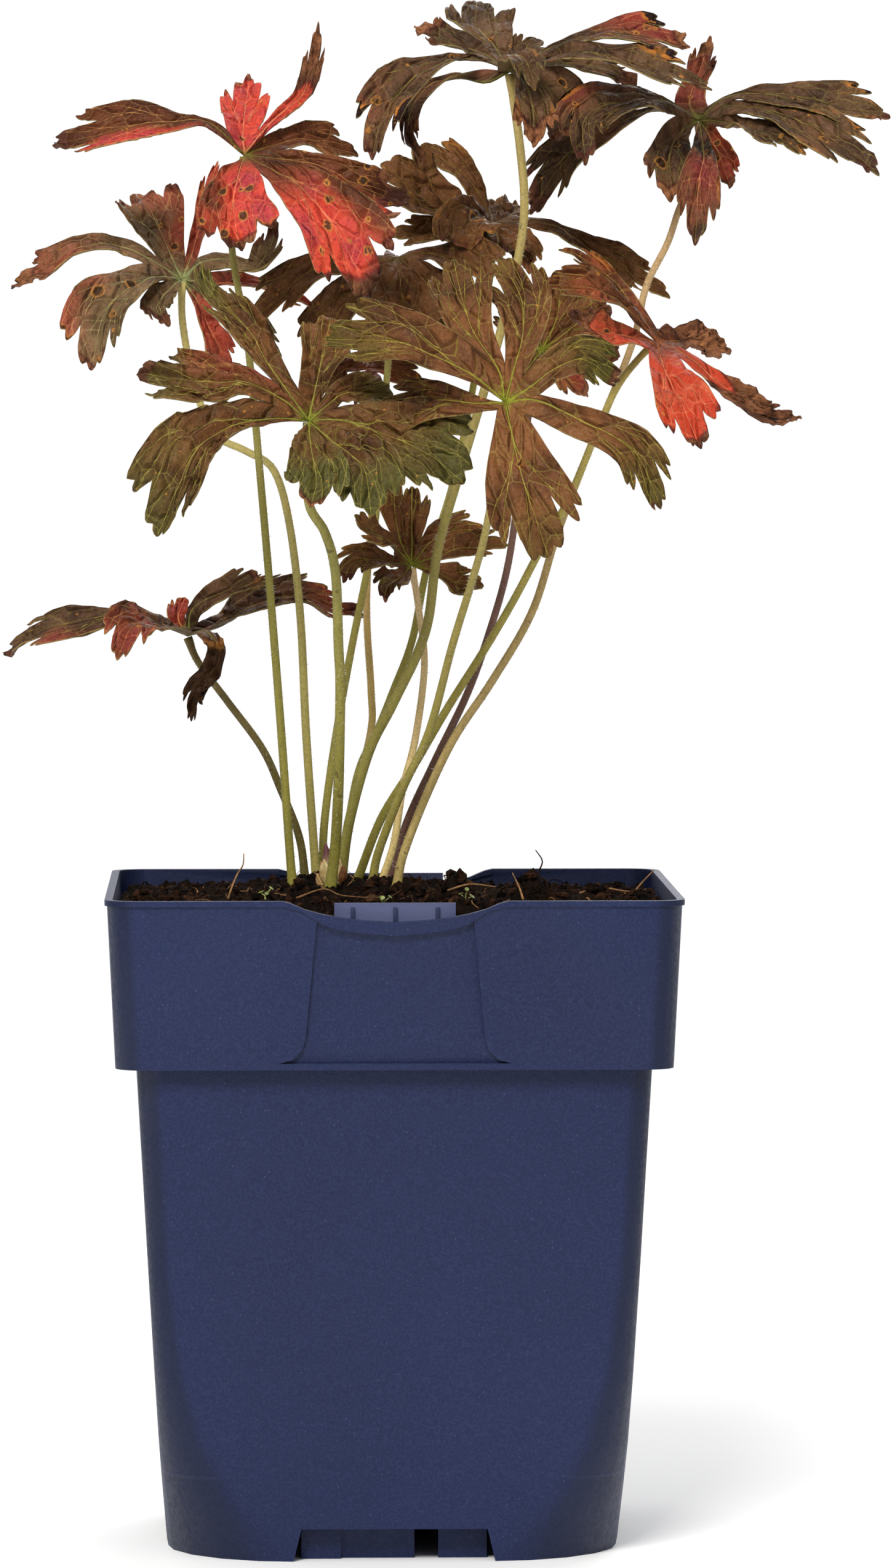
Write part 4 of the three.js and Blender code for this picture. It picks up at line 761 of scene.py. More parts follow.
LEAVES["e"] = leaf((26.5, 261.1, -45), (0, -0.97, 0.24), (0.8, 1), [
    (24.9, 249, -40), (22.1, 231.9, -34), (18.6, 219.1, -28), (14.3, 205, -22), (8.9, 185.1, -15),
    (2.7, 171.7, -12), (-2.7, 157.5, -9), (-4, 151, -8),
], [
    lobe((4.8, 7.6), [(19.3, 267.3, -46), (9.4, 272.3, -46), (0.9, 275.1, -44), (-15.4, 275.8, -38)],
         web=1.5, green=0.55),
    lobe((6, 6.2), [(24.9, 268.8, -44), (19.3, 277.3, -40), (16.4, 285.8, -34), (14.6, 294.3, -28)]),
    lobe(6, [(28.5, 268.8, -44), (30.6, 277.3, -38), (29.9, 285.8, -32), (24.9, 294.6, -28)]),
    lobe((5, 3.6), [(32, 264.5, -46), (37.7, 268.8, -46), (44.8, 270.9, -44), (52.3, 265.6, -40)], dry=0.93,
         green=0.8),
    lobe((4.6, 4.8), [(33.5, 261.7, -47), (43.4, 257.4, -49), (51.9, 253.2, -50), (57.5, 248.2, -49),
         (62.6, 236.4, -46)], dry=0.97, web=0.6, green=0.55),
    lobe((9.8, 10.2), [(28.5, 251.7, -48), (30.6, 243.2, -51), (33.5, 234.7, -52), (36.6, 225.4, -50)],
         blots=[(0.4, 0.05, 0.9)], web=0.4),
    lobe((6, 4.6), [(19.3, 261, -44), (9.4, 261.7, -39), (-2, 259.5, -33)]),
], green=0.4, spots=0, burn=0.3)
LEAVES["f"] = leaf((-18.8, 256.8, -35), (0, -0.85, 0.53), (1, 1.25), [
    (-19.1, 248.9, -34), (-18.6, 237.6, -32), (-15, 231.2, -31), (-12.6, 222, -29), (-11.9, 205, -25),
    (-11.5, 195.1, -22), (-11.9, 173.8, -17), (-12.6, 159.6, -13), (-13.7, 150, -12),
], [
    lobe((4.6, 9.2), [(-26.1, 257.4, -38), (-36, 256, -42), (-44.5, 250.3, -46), (-48.8, 241.8, -48),
         (-53.7, 230.2, -46)]),
    lobe((7, 5.6), [(-24.7, 261.7, -36), (-33.2, 265.9, -37), (-41.7, 265.9, -36), (-58.4, 268, -30)],
         red=(0.1, 0.45), dry=0.93),
    lobe((5.4, 4.4), [(-23.2, 263.1, -35), (-28.9, 271.6, -33), (-33.2, 278.7, -30), (-41.7, 287.2, -26),
         (-43.4, 293.3, -22)], cleft=1.6),
    slim((4.6, 5.2), [(-16.2, 268.8, -30), (-13.6, 280.7, -24)], green=0.1, cleft=0.6),
    slim(4, [(-10.5, 263.1, -32), (0.9, 263.1, -28)]),
    lobe((10.4, 8.4), [(-10.5, 257, -37), (0.9, 253.2, -39), (9.4, 248.9, -42), (17.2, 242.5, -42)],
         green=0.7, cleft=0.7),
    slim((6.6, 6.4), [(-12.6, 251.7, -40), (-6.2, 246.1, -46), (-4.3, 235, -48)], green=0.75, cleft=0.7),
    slim((6, 5.8), [(-18.3, 251.7, -42), (-17, 243.2, -48), (-18.4, 237, -50)], green=0.9, dry=0.97,
         cleft=0.7),
], green=0.55, spots=0, pucker=1.3, burn=0.2)
LEAVES["g"] = leaf((1.6, 294.3, 15), (0, -0.8, 0.6), (0.75, 0.95), [
    (0.3, 280.1, 15), (-1, 263.1, 15), (-2.7, 240.4, 14), (-4.8, 224.8, 13), (-8.8, 205, 12),
    (-12.6, 183.7, 10), (-15.2, 163.9, 9), (-15.6, 151, 9),
], [
    lobe((7, 6.6), [(-4, 288.5, 14), (-10.5, 283.5, 16), (-14.7, 275.8, 19), (-16.9, 269.6, 19)]),
    lobe((4.2, 5), [(-10.5, 292.9, 14), (-20.4, 290, 9), (-31.5, 279.7, 5)]),
    slim(4, [(2.5, 294.6, 22), (3.5, 292.5, 32)]),
    lobe((5.4, 5.8), [(9.4, 295.6, 14), (17.9, 293.6, 10), (23.1, 289.4, 6)], red=0.1, cleft=0.6),
    lobe(7.6, [(7, 290, 11), (12.5, 281.9, 10), (13.5, 273.5, 8)], red=(0.1, 0.2), cleft=0.5),
    lobe(7.4, [(2.4, 289, 9), (4, 275.5, 5)], red=0.2, cleft=0.5),
], green=0.15, spots=0.15)
LEAVES["h"] = leaf((5, 223.5, 0), (0, -0.8, 0.6), (0.75, 0.9), [
    (6.5, 214.2, 0), (7.9, 200.7, 0), (5.8, 183.7, 0), (2.8, 171.7, -1), (0.9, 159.6, -1), (-1.8, 151, -1),
], [
    slim(3.4, [(1.8, 220.5, -7), (-0.6, 219.2, -11), (-1.3, 215.6, -13)], dry=0.9),
    lobe(4, [(-0.8, 224.6, -5), (-4.8, 225, -10), (-9.1, 223.7, -12), (-10.8, 219.5, -13)], red=0.15,
         dry=0.92),
    lobe(3.8, [(0.6, 228.7, -3), (-4.8, 231.9, -8), (-7.7, 235.4, -10)], red=0.15),
    slim(3.4, [(2.4, 229.5, -1), (1.1, 236.5, 0), (0.9, 244.9, 0)], red=(0.15, 0.1)),
    lobe((3.6, 3.8), [(5, 231.5, 4.5), (5, 242, 9)]),
    lobe(3.6, [(9.4, 229.1, 5), (15, 231.9, 9), (22.1, 231.6, 10)], red=0.1),
    lobe(3.4, [(10, 225.5, 2), (17.9, 227.7, 4), (27.2, 228.5, 3)], red=0.15),
    lobe(4, [(9.4, 222.6, 0), (15, 219.9, 2), (21.7, 219, 3)], red=0.1),
], green=0.1, spots=0.1)
LEAVES["i"] = leaf((23.5, 302.1, 25), (0, -0.7, 0.7), (0.75, 0.95), [
    (23.3, 292, 25), (21.4, 280.1, 24), (18.6, 261.7, 22), (14.3, 241.8, 20), (8.6, 223.4, 18),
    (5.1, 206.4, 16), (0.9, 195.1, 14), (-3.1, 185.1, 12), (-7.7, 174.5, 11), (-11.5, 151, 11),
], [
    lobe((4.4, 4), [(16.4, 300, 22), (9.4, 300, 21), (0.1, 299.5, 22)]),
    lobe((8, 8.2), [(15.7, 303.5, 24), (9.4, 307, 22), (2.3, 312.7, 20), (-2, 316.2, 20)], red=(0.05, 0.1),
         cleft=0.6),
    lobe((3.6, 4), [(20, 309.9, 28), (15.7, 314.8, 30), (10.8, 317.7, 32), (6.5, 318.9, 32)], red=0.1),
    slim(3.4, [(23.2, 305.2, 32), (21.4, 307.4, 38)]),
    slim(3.4, [(28, 304.6, 30), (30.5, 306, 35)]),
    lobe(4, [(34.9, 302.8, 24), (43.4, 298.5, 26), (51.9, 292.9, 26), (64.6, 285.3, 24)], red=0.1),
    slim(3.8, [(30, 297.5, 21), (32.3, 291, 18)], dry=0.9),
    slim(6.4, [(24.9, 298.5, 20), (23.5, 294.2, 15)], red=0.2, dry=0.9, cleft=0.5),
    slim((6.4, 6.2), [(20.5, 304, 18), (17.6, 301.5, 13), (18.4, 296, 11)], face=(0, -0.9, 0.3),
         red=(0.3, 0.1), dry=0.95, cleft=0.5, blots=[(0.55, 0.1, 2.2)]),
], green=0.15, spots=0.25, pucker=0.7, burn=0.6)
LEAVES["j"] = leaf((34.9, 273, 15), (0.1, -0.8, 0.6), (0.75, 0.95), [
    (31.8, 257.4, 14), (29.6, 240.4, 13), (27.1, 223.4, 12), (23.2, 209.2, 11), (17.9, 194.3, 10),
    (10.1, 178, 9), (3.7, 163.9, 8), (0.1, 151, 8),
], [
    slim(4, [(31.2, 268.2, 9), (28.5, 261.4, 5)], red=(0.1, 0.3)),
    slim(4.4, [(29.2, 277.3, 17), (25.7, 284.3, 20)], red=(0.1, 0.2)),
    slim((4.4, 3.6), [(33.4, 280, 26), (32.4, 284, 38)], red=0.1),
    lobe((5, 5.6), [(38.4, 280.8, 18), (39.6, 291.4, 21)], red=(0, 0.05), cleft=0.6),
    lobe((4.8, 5.4), [(43.2, 279.2, 16), (51, 283, 17)], red=0.1, dry=0.92, cleft=0.6),
    lobe(4.8, [(43.5, 273, 12), (53, 271.7, 12)], red=0.1, dry=0.88, cleft=0.7),
    slim(4, [(40.5, 267.3, 8), (45.5, 262.1, 4)], red=(0.6, 0.3), dry=0.9),
], green=0.15, spots=0.2, burn=0.8)
LEAVES["k"] = leaf((61.4, 275, -5), (0, -0.8, 0.6), (0.8, 1), [
    (58.3, 272.3, -5), (52.6, 265.2, -6), (48.3, 256, -6), (41.2, 239, -5), (34.9, 227.7, -3),
    (28.5, 215.6, -1), (21.4, 203.6, 1), (13.3, 190.8, 2), (5.4, 177.3, 3), (-2, 165.3, 4), (-7.2, 152, 4),
], [
    lobe((4, 3.8), [(54.7, 282.9, -8), (47.6, 287.2, -12), (33.7, 288.6, -16)], red=(0.3, 0.2), turn=0.1,
         dry=0.96),
    lobe(2, [(56.1, 283.6, -2), (49.8, 290.7, 0), (43.4, 295, 2), (38.8, 296.4, 2)], red=0.3),
    slim(3.8, [(67.5, 275.6, 1), (73.1, 274.6, 5), (78.3, 272.2, 8)], red=0.3, dry=0.35),
    lobe((3, 2.6), [(68.9, 271.6, -6), (77.4, 264.5, -6), (85.9, 258.6, -4), (94.8, 257.3, 0)], red=1,
         dry=0.52),
    lobe((6.2, 5.6), [(63.2, 268.8, -12), (66.8, 261.7, -18), (71.7, 250.5, -22)], red=1, dry=0.92),
    lobe((4.4, 4.2), [(54.7, 276.6, -10), (47.6, 278, -14), (41, 281.5, -16)], red=(0.9, 0.4), dry=0.8,
         blots=[(0.6, 0, 1)]),
], green=0, spots=0.3, burn=0.8)
LEAVES["l"] = leaf((-46.6, 207.4, -3), (0, -0.75, 0.66), (0.8, 0.95), [
    (-44.2, 201.4, -3), (-37.4, 192.2, -2), (-29.6, 181.6, 0), (-25.4, 172.4, 3), (-21, 161, 5.5),
    (-19.6, 151, 6.5),
], [
    lobe((6.2, 3.6), [(-53, 210.6, -6), (-61.5, 212.6, -8), (-71.4, 211, -8), (-81.4, 208.4, -6),
         (-89, 203.4, -2)], red=(0.7, -0.3), turn=0.6, dry=0.97, cleft=1.4),
    slim(2.8, [(-48.8, 211.6, -1), (-47.3, 216.4, 3)], red=0.8),
    lobe((3.4, 2.6), [(-45.4, 213.8, -1), (-37.8, 217.8, 0), (-29.6, 221.6, 0)], red=0.1, dry=0.93),
    lobe((2.6, 3.4), [(-37.4, 211.6, 9), (-32.6, 216.6, 17), (-19, 221.8, 24)]),
    lobe((3.8, 4), [(-39.5, 209.6, 1.5), (-31.7, 214.6, 9), (-21.8, 216.4, 17), (-12.6, 213.6, 22),
         (-4.8, 212.1, 24)], red=0.6, turn=0.75, dry=0.96),
    lobe(2.4, [(-42.5, 208.6, -7), (-39.4, 204.5, -10), (-41.3, 199, -10), (-44.6, 194.5, -9),
         (-46, 187.5, -8)], red=0.2, dry=0.4, blots=[(0.6, 0, 8), (0.88, 0, 8)]),
    lobe(5.2, [(-51, 209.5, -11), (-58.8, 210.2, -20), (-62.9, 201.9, -26)], red=0.55, turn=0.55),
], green=0.3, spots=0.2, burn=0.6)
LEAVES["n"] = leaf((-5.5, 268.8, 20), (0, -0.7, 0.7), (0.75, 0.9), [
    (-4.6, 255, 20), (-4.1, 240.4, 20), (-5.4, 214.9, 19), (-4.4, 195.1, 18), (-4.5, 185.1, 17),
    (-9.1, 166.7, 15), (-11.6, 151, 14),
], [
    slim(4.6, [(-10.5, 268.8, 21), (-15.2, 263.5, 20)], red=(0.1, 0.3)),
    slim(4.2, [(-4.8, 273, 26), (-5.1, 277.6, 34)], red=0.1),
    slim(4.8, [(0.2, 268.8, 22), (7.4, 264.2, 22)], red=(0.1, 0.3)),
    slim(4, [(-4.8, 264.4, 15), (-4.8, 257.3, 11)], red=0.3, dry=0.85),
], green=0.1, spots=0.3, burn=0.8)


# ---- Stalks ----------------------------------------------------------------------------------
# Each leaf's stalk is a slender, faintly grooved stem with a swollen foot. Fine white hairs stand
# off it all round. Stalks of older leaves have turned from green to tan and purple-brown.
STALK_SIDES = 14
STALK_ROWS = 90
STALK_FOOT = 146.5
FOOT_SWELLING = (0.35, 5)      # how thick, and how far up
TOP_SWELLING = (0.25, 2.5)
GROOVE = (0.12, 0.45)          # how deep, as a share of the radius, and how wide in radians
HAIRS_PER_MM = 6
HAIR_LENGTH = (0.3, 0.95)
HAIR_DROOP = (0.15, 0.25)
HAIR_RADIUS = 0.04
TAN_STALKS = "dhjln"
# the shade at the top and at the foot, and what share of its red, green and blue is used
STALK_COLOURS = {
    "a": ("988e4a", "8a8232"), "b": ("a6985a", "9a8e4a"), "c": ("a08c54", "827c38"),
    "d": ("a68c5c", "968846"), "e": ("8c8444", "7c7a34"), "f": ("968e4a", "8c8436"),
    "g": ("a09450", "8e863c"), "h": ("c4a878", "c4ae6a"), "i": ("8e843e", "828034"),
    "j": ("8a6a5a", "5c3c30"), "k": ("a69450", "98903e"), "l": ("6e5c34", "6a6030"),
    "n": ("c8a470", "948a46"),
}
STALK_LIGHT = {
    "a": (0.98, 0.98, 0.98), "b": (1.12, 1.12, 1.15), "c": (1.08, 1.08, 1.08), "d": (1.16, 1.12, 1.25),
    "e": (1.16, 1.1, 1.2), "f": (0.98, 0.98, 0.98), "g": (1.1, 1.1, 1.1), "h": (1.14, 1.14, 1.2),
    "i": (1.12, 1.1, 1.15), "j": (1.04, 1.02, 1.1), "k": (1.04, 1.04, 1.04), "l": (1.04, 1.04, 1.04),
    "n": (1.16, 1.14, 1.15),
}


def lit(code, shares):
    """A colour code with its red, green and blue each multiplied by their own share."""
    parts = (round(int(code[2 * k:2 * k + 2], 16) * share) for k, share in enumerate(shares))
    return "".join(f"{min(255, part):02x}" for part in parts)


hair_finish, shader, place = new_finish("stalk_hairs", roughness=0.4)
feed(shader, {"Base Color": mixed(noise(place, 80).step(0.3, 0.7), "b7b09a", "eeeadd")})


def new_group(name, inputs, outputs):
    """A group of shader nodes: its tree, the wires that it is given, and the node for its results."""
    tree = bpy.data.node_groups.new(name, "ShaderNodeTree")
    for labels, way in ((inputs, "INPUT"), (outputs, "OUTPUT")):
        for label in labels:
            kind = "NodeSocketVector" if label == "Place" else "NodeSocketFloat"
            tree.interface.new_socket(label, in_out=way, socket_type=kind)
    given = tree.nodes.new("NodeGroupInput").outputs
    return tree, [Wire(given[label]) for label in inputs], tree.nodes.new("NodeGroupOutput")


def stalk_group():
    """Streaks drawn out along a stalk, a few dark specks and a fine grain, over a point's place."""
    tree, (place,), result = new_group("stalk_marks", ["Place"], ["Relief", "Streaks", "Specks", "Grain"])
    streaks = noise(wired(tree, "Mapping", {"Vector": place, "Scale": (1, 1, 0.12)}), 900, 3)
    feed(result, {"Relief": streaks, "Streaks": streaks.step(0.35, 0.7, 0, 0.18),
                  "Specks": noise(place, 450).step(0.7, 0.76, 0, 0.5),
                  "Grain": noise(place, 1700).step(0.45, 0.65, 0, 0.24)})
    return tree


stalk_marks = stalk_group()


def stalk_finish(letter):
    """Stem colour from the top shade to the foot shade, under the streaks, specks and grain."""
    material, shader, place = new_finish(f"stalk_skin_{letter}", specular=0.3)
    relief = wired(place.tree, "Group", {"Place": place}, "Relief", node_tree=stalk_marks)
    shades = [lit(code, STALK_LIGHT[letter]) for code in STALK_COLOURS[letter]]
    stem = layered(
        mixed(look(shader, "down"), *shades), (relief.other("Streaks"), "3e3c16"),
        (relief.other("Specks"), "3c2412"), (relief.other("Grain"), "4c4a1a"),
    )
    feed(shader, {"Base Color": stem, "Normal": bump(relief, 0.00025, 0.7)})
    return material


def stalk_line(leaf):
    """The points that a stalk follows, from under its blade down into the compost."""
    hub = in_space([leaf["hub"]])[0] - 0.6 * np.array(leaf["face"])
    path = np.concatenate([[hub], in_space(leaf["stalk"])])
    down = unit(path[-1] - path[-2])
    return np.concatenate([path, [path[-1] + down * (path[-1][2] - STALK_FOOT) / -down[2]]])


def stalk_surface(leaf):
    """A tube with a shallow groove along its front and a swelling at its foot and its top."""
    steps = np.linspace(0, 1, STALK_ROWS)
    place, heading, length = spline(stalk_line(leaf), steps)
    top, foot = leaf["radius"]
    radius = top + (foot - top) * steps
    for off_end, (thickness, reach) in ((1 - steps, FOOT_SWELLING), (steps, TOP_SWELLING)):
        radius += thickness * np.exp(-(off_end * length / reach) ** 2)
    turn = np.linspace(0, 2 * np.pi, STALK_SIDES, endpoint=False)[None, :]
    groove = 1 - GROOVE[0] * np.exp(-((turn - 1.5 * np.pi) / GROOVE[1]) ** 2) + 0.03 * np.cos(5 * turn)
    points, faces = rings_along(place, heading, (radius[:, None] * groove)[..., None], STALK_SIDES)
    return points, faces, np.repeat(steps, STALK_SIDES)


def stalk_hairs(rng, leaf):
    """Three-sided spikes about a millimetre long, standing off the stalk at random."""
    count = int(spline(stalk_line(leaf), [0])[2] * HAIRS_PER_MM)
    steps = rng.uniform(0.005, 0.97, count)
    place, heading, _ = spline(stalk_line(leaf), steps)
    first = unit(np.cross(heading, ASKEW))
    second = np.cross(first, heading)
    turn = rng.uniform(0, 2 * np.pi, count)[:, None]
    outward = np.cos(turn) * first + np.sin(turn) * second
    top, foot = leaf["radius"]
    root = place + outward * (top + (foot - top) * steps - 0.1)[:, None]
    droop = unit(outward + heading * rng.normal(*HAIR_DROOP, (count, 1)))
    tip = root + droop * rng.uniform(*HAIR_LENGTH, (count, 1))
    aside = unit(np.cross(droop, heading + 0.01)) * HAIR_RADIUS
    over = unit(np.cross(droop, aside)) * HAIR_RADIUS
    points = np.stack([root + aside, root - 0.5 * aside + over, root - 0.5 * aside - over, tip], axis=1)
    base = 4 * np.arange(count)[:, None]
    faces = np.concatenate([base + (0, 1, 3), base + (1, 2, 3), base + (2, 0, 3), base + (0, 2, 1)])
    return points.reshape(-1, 3), faces.tolist()


for letter, each in LEAVES.items():
    slot = "stalk_tan" if letter in TAN_STALKS else "stalk_green"
    points, faces, down = stalk_surface(each)
    stem = add_piece(f"stem_{letter}", points, faces, stalk_finish(letter), {"down": down})
    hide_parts(f"stalk_{letter}")
    points, faces = stalk_hairs(np.random.default_rng(ord(letter)), each)
    add_piece(f"stem_hairs_{letter}", points, faces, hair_finish, smooth=False)


# ---- Blades ----------------------------------------------------------------------------------
# A blade is cut two thirds of the way to its hub into wedge-shaped lobes, and each lobe's end is
# cleft again into toothed tongues. The sheet is folded up along each midrib, sunk along its veins,
# puckered between them and crumpled where it has dried out.
CUT_FOOT = 0.22                # where neighbouring lobes part, as a share of their length
WEDGE_END = 0.59               # where the fan of a lobe's columns has the lobe's given width
WEDGE_START = 0.16             # its width at the hub, as a share of that
FOLD = 0.32
WAVE_HEIGHT = 0.75             # of the margins, and how many waves they have
WAVES = 2.2
MIDRIB = (0.32, 0.6)           # how deep the sheet is sunk along it, and how wide
SIDE_RIB = (0.26, 0.55)
BLADE_THICKNESS = 0.4
ROWS = 30
MARGIN_STEPS = 61
# the end of a lobe from its midrib out to its side: how far aside, and how far along it reaches
BROAD_END = [(0, 1), (0.13, 0.945), (0.22, 0.96), (0.36, 0.86), (0.43, 0.7), (0.5, 0.77), (0.62, 0.83),
             (0.72, 0.755), (0.83, 0.76), (1, 0.56)]
SLIM_END = [(0, 1), (0.16, 0.93), (0.36, 0.88), (0.45, 0.7), (0.62, 0.8), (0.75, 0.72), (0.86, 0.72),
            (1, 0.56)]
END_SQUARENESS = 4.2           # how much further a wide lobe's teeth are cut than a slender one's
SQUARENESS_LIMITS = (0.8, 1.15)
TOOTH_BULGE = 1.8
TOOTH_SPREAD = 0.02
CLEFT = (0.43, 0.7)            # how far aside the cleft beside the middle tongue lies, and the side
CLEFT_FOOT = 0.58              # tongue's middle, and how far along the clefts start
TONGUE_TAPER = 0.1
SIDE_VEIN = (0.1, 0.6, 0.62)   # it leaves the midrib, reaches its tongue, and lies this far aside
RELIEFS = (3.2, 9, 2.1)        # how long the fine, the coarse and the knobbly relief's waves are


def ripple_field(rng, scale, waves=7):
    """Smooth random relief: a function from places to a sum of waves, about -1 to 1."""
    headings = rng.normal(size=(waves, 3))
    headings *= rng.uniform(0.6, 1.7, (waves, 1)) / scale / np.linalg.norm(headings, axis=1)[:, None]
    phases = rng.uniform(0, 6.28, waves)
    return lambda place: np.sin(2 * np.pi * (place @ headings.T) + phases).sum(axis=-1) / waves ** 0.5 / 1.6


def smooth(value, low, high):
    """Zero below low, one above high, and an even curve between."""
    x = np.clip((value - low) / (high - low), 0, 1)
    return x * x * (3 - 2 * x)


def end_profile(rng, shape, squareness):
    """Columns of a lobe from right to left, and how far along each one reaches.

    Between a tooth and the next notch the margin bulges a little, and teeth differ in length."""
    asides, reaches = np.array(shape).T
    thirds = [np.linspace(start, stop, 3, endpoint=False) for start, stop in zip(asides, asides[1:])]
    aside = np.concatenate([*thirds, [1]])
    share = np.interp(aside, asides, np.arange(len(asides)))
    step, part = np.floor(share).astype(int), share % 1
    after = np.minimum(step + 1, len(shape) - 1)
    halves = []
    for _ in range(2):
        longer = rng.uniform(-TOOTH_SPREAD, TOOTH_SPREAD, len(shape) - 1)
        varied = 1 - squareness * (1 - reaches + np.append(0, longer))
        falling, rising = part ** TOOTH_BULGE, 1 - (1 - part) ** TOOTH_BULGE
        eased = np.where(varied[step] > varied[after], falling, rising)
        halves.append(varied[step] + (varied[after] - varied[step]) * eased)
    right, left = halves
    return np.concatenate([-aside[:0:-1], aside]), np.concatenate([right[:0:-1], left])


def lobe_shaper(rng, one, fields):
    """A function from how far along and aside points are on a lobe to their places and looks.

    A point stands off the midrib by its share of the wedge's width, along the blade's cross
    direction, and is lifted by the fold, the veins, the puckers and the crumpling of dry parts.
    The function comes with the lobe's length."""
    line = in_space([one["hub"], *one["points"]])
    length = spline(line, [0])[2]
    upper = np.array(one["face"], float)
    fine, coarse, knobbly = fields
    turned = rng.uniform(0, 6.28)
    start, end, aside_vein = SIDE_VEIN

    def shaper(along, aside):
        spread = WEDGE_START + (1 - WEDGE_START) * (along / WEDGE_END) ** 1.15
        width = np.where(aside > 0, *one["widths"]) * spread
        tongue = np.where(np.abs(aside) < CLEFT[0], 0, np.sign(aside) * CLEFT[1])
        taper = TONGUE_TAPER * smooth(along, CLEFT_FOOT, 1)
        lateral = (aside + (tongue - aside) * taper) * width * np.minimum(along / CUT_FOOT, 1) ** 0.8
        place, heading, _ = spline(line, along)
        normal = unit(upper - (heading @ upper)[..., None] * heading)
        flat = place + np.cross(normal, heading) * lateral[..., None]
        off = np.abs(lateral)
        outward = along + 0.12 * np.abs(aside) + 0.05 * coarse(flat)
        dry = smooth(outward, one["dry"] - 0.04, one["dry"] + 0.06)
        vein = width * aside_vein * smooth(along, start, end)
        groove = MIDRIB[0] * np.exp(-(lateral / MIDRIB[1]) ** 2)
        groove += SIDE_RIB[0] * np.exp(-((off - vein) / SIDE_RIB[1]) ** 2)
        quilt = np.sin(np.pi * np.clip(off / np.maximum(vein, 0.1), 0, 1.6)) ** 2
        puckers = one["pucker"] * (0.5 * quilt + 0.8 * fine(flat)) * np.minimum(off / 1.5, 1)
        wave = WAVE_HEIGHT * aside ** 2 * np.sin(2 * np.pi * (WAVES * along + turned) + 2 * np.sign(aside))
        wave = wave * np.minimum(width / 4, 1)
        crumple = dry * (1.0 * knobbly(flat) + 0.6 * fine(flat))
        curl = dry * 0.1 * lateral ** 2 / np.maximum(width, 0.5)
        lift = FOLD * (np.hypot(lateral, 0.4) - 0.4) + crumple + curl
        lift += smooth(along, 0.05, 0.4) * (puckers - groove + wave + 0.5 * coarse(flat))
        looks = {"along": along * length, "lateral": lateral, "reach": along, "width": width, "dry": dry}
        return flat + normal * lift[..., None], normal, looks
    return shaper, length


def spot_on(shaper, along, aside):
    """The place of one point of a lobe."""
    return shaper(np.array([along]), np.array([aside]))[0][0]


def draw_margin(points, along, share, shaper, side, foot):
    """Moves a lobe's side onto the straight line from the hub to the foot of the cut beside it."""
    steps = np.linspace(0, 1, MARGIN_STEPS)
    edge = shaper(steps, np.full(MARGIN_STEPS, side))[0]
    line = edge[0] + (foot - edge[0]) * np.minimum(steps / CUT_FOOT, 1)[:, None]
    at_foot = foot - spot_on(shaper, CUT_FOOT, side)
    fade = np.clip(1 - (steps - CUT_FOOT) / (1.6 * CUT_FOOT), 0, 1)[:, None]
    drift = np.where(steps[:, None] <= CUT_FOOT, line - edge, at_foot * fade)
    moved = np.stack([np.interp(along, steps, drift[:, axis]) for axis in range(3)], axis=-1)
    return points + moved * share[..., None]


def thin_solid(surface, normal):
    """A sheet of even thickness with closed margins; its first row is one point, the hub.

    Returns points, faces, and for each point the grid point that it came from."""
    rows, columns = surface.shape[:2]
    used = np.concatenate([[0], np.arange(columns, rows * columns)])
    flat, up = surface.reshape(-1, 3)[used], normal.reshape(-1, 3)[used]
    body = grid_faces(rows - 1, columns) + 1
    beside = np.arange(columns - 1)
    fan = np.stack([np.zeros_like(beside), 1 + beside, 2 + beside], axis=-1)
    right = 1 + np.arange(rows - 1) * columns
    end = right[-1] + np.arange(1, columns)
    rim = np.concatenate([[0], right, end, (right + columns - 1)[::-1][1:]])
    following = np.roll(rim, -1)
    count = len(used)
    band = np.stack([following, rim, rim + count, following + count], axis=-1)
    top = [*body[:, ::-1].tolist(), *fan.tolist()]
    under = [[i + count for i in face[::-1]] for face in top]
    points = np.concatenate([flat + up * BLADE_THICKNESS / 2, flat - up * BLADE_THICKNESS / 2])
    return points, [*top, *under, *band.tolist()], np.concatenate([used, used])


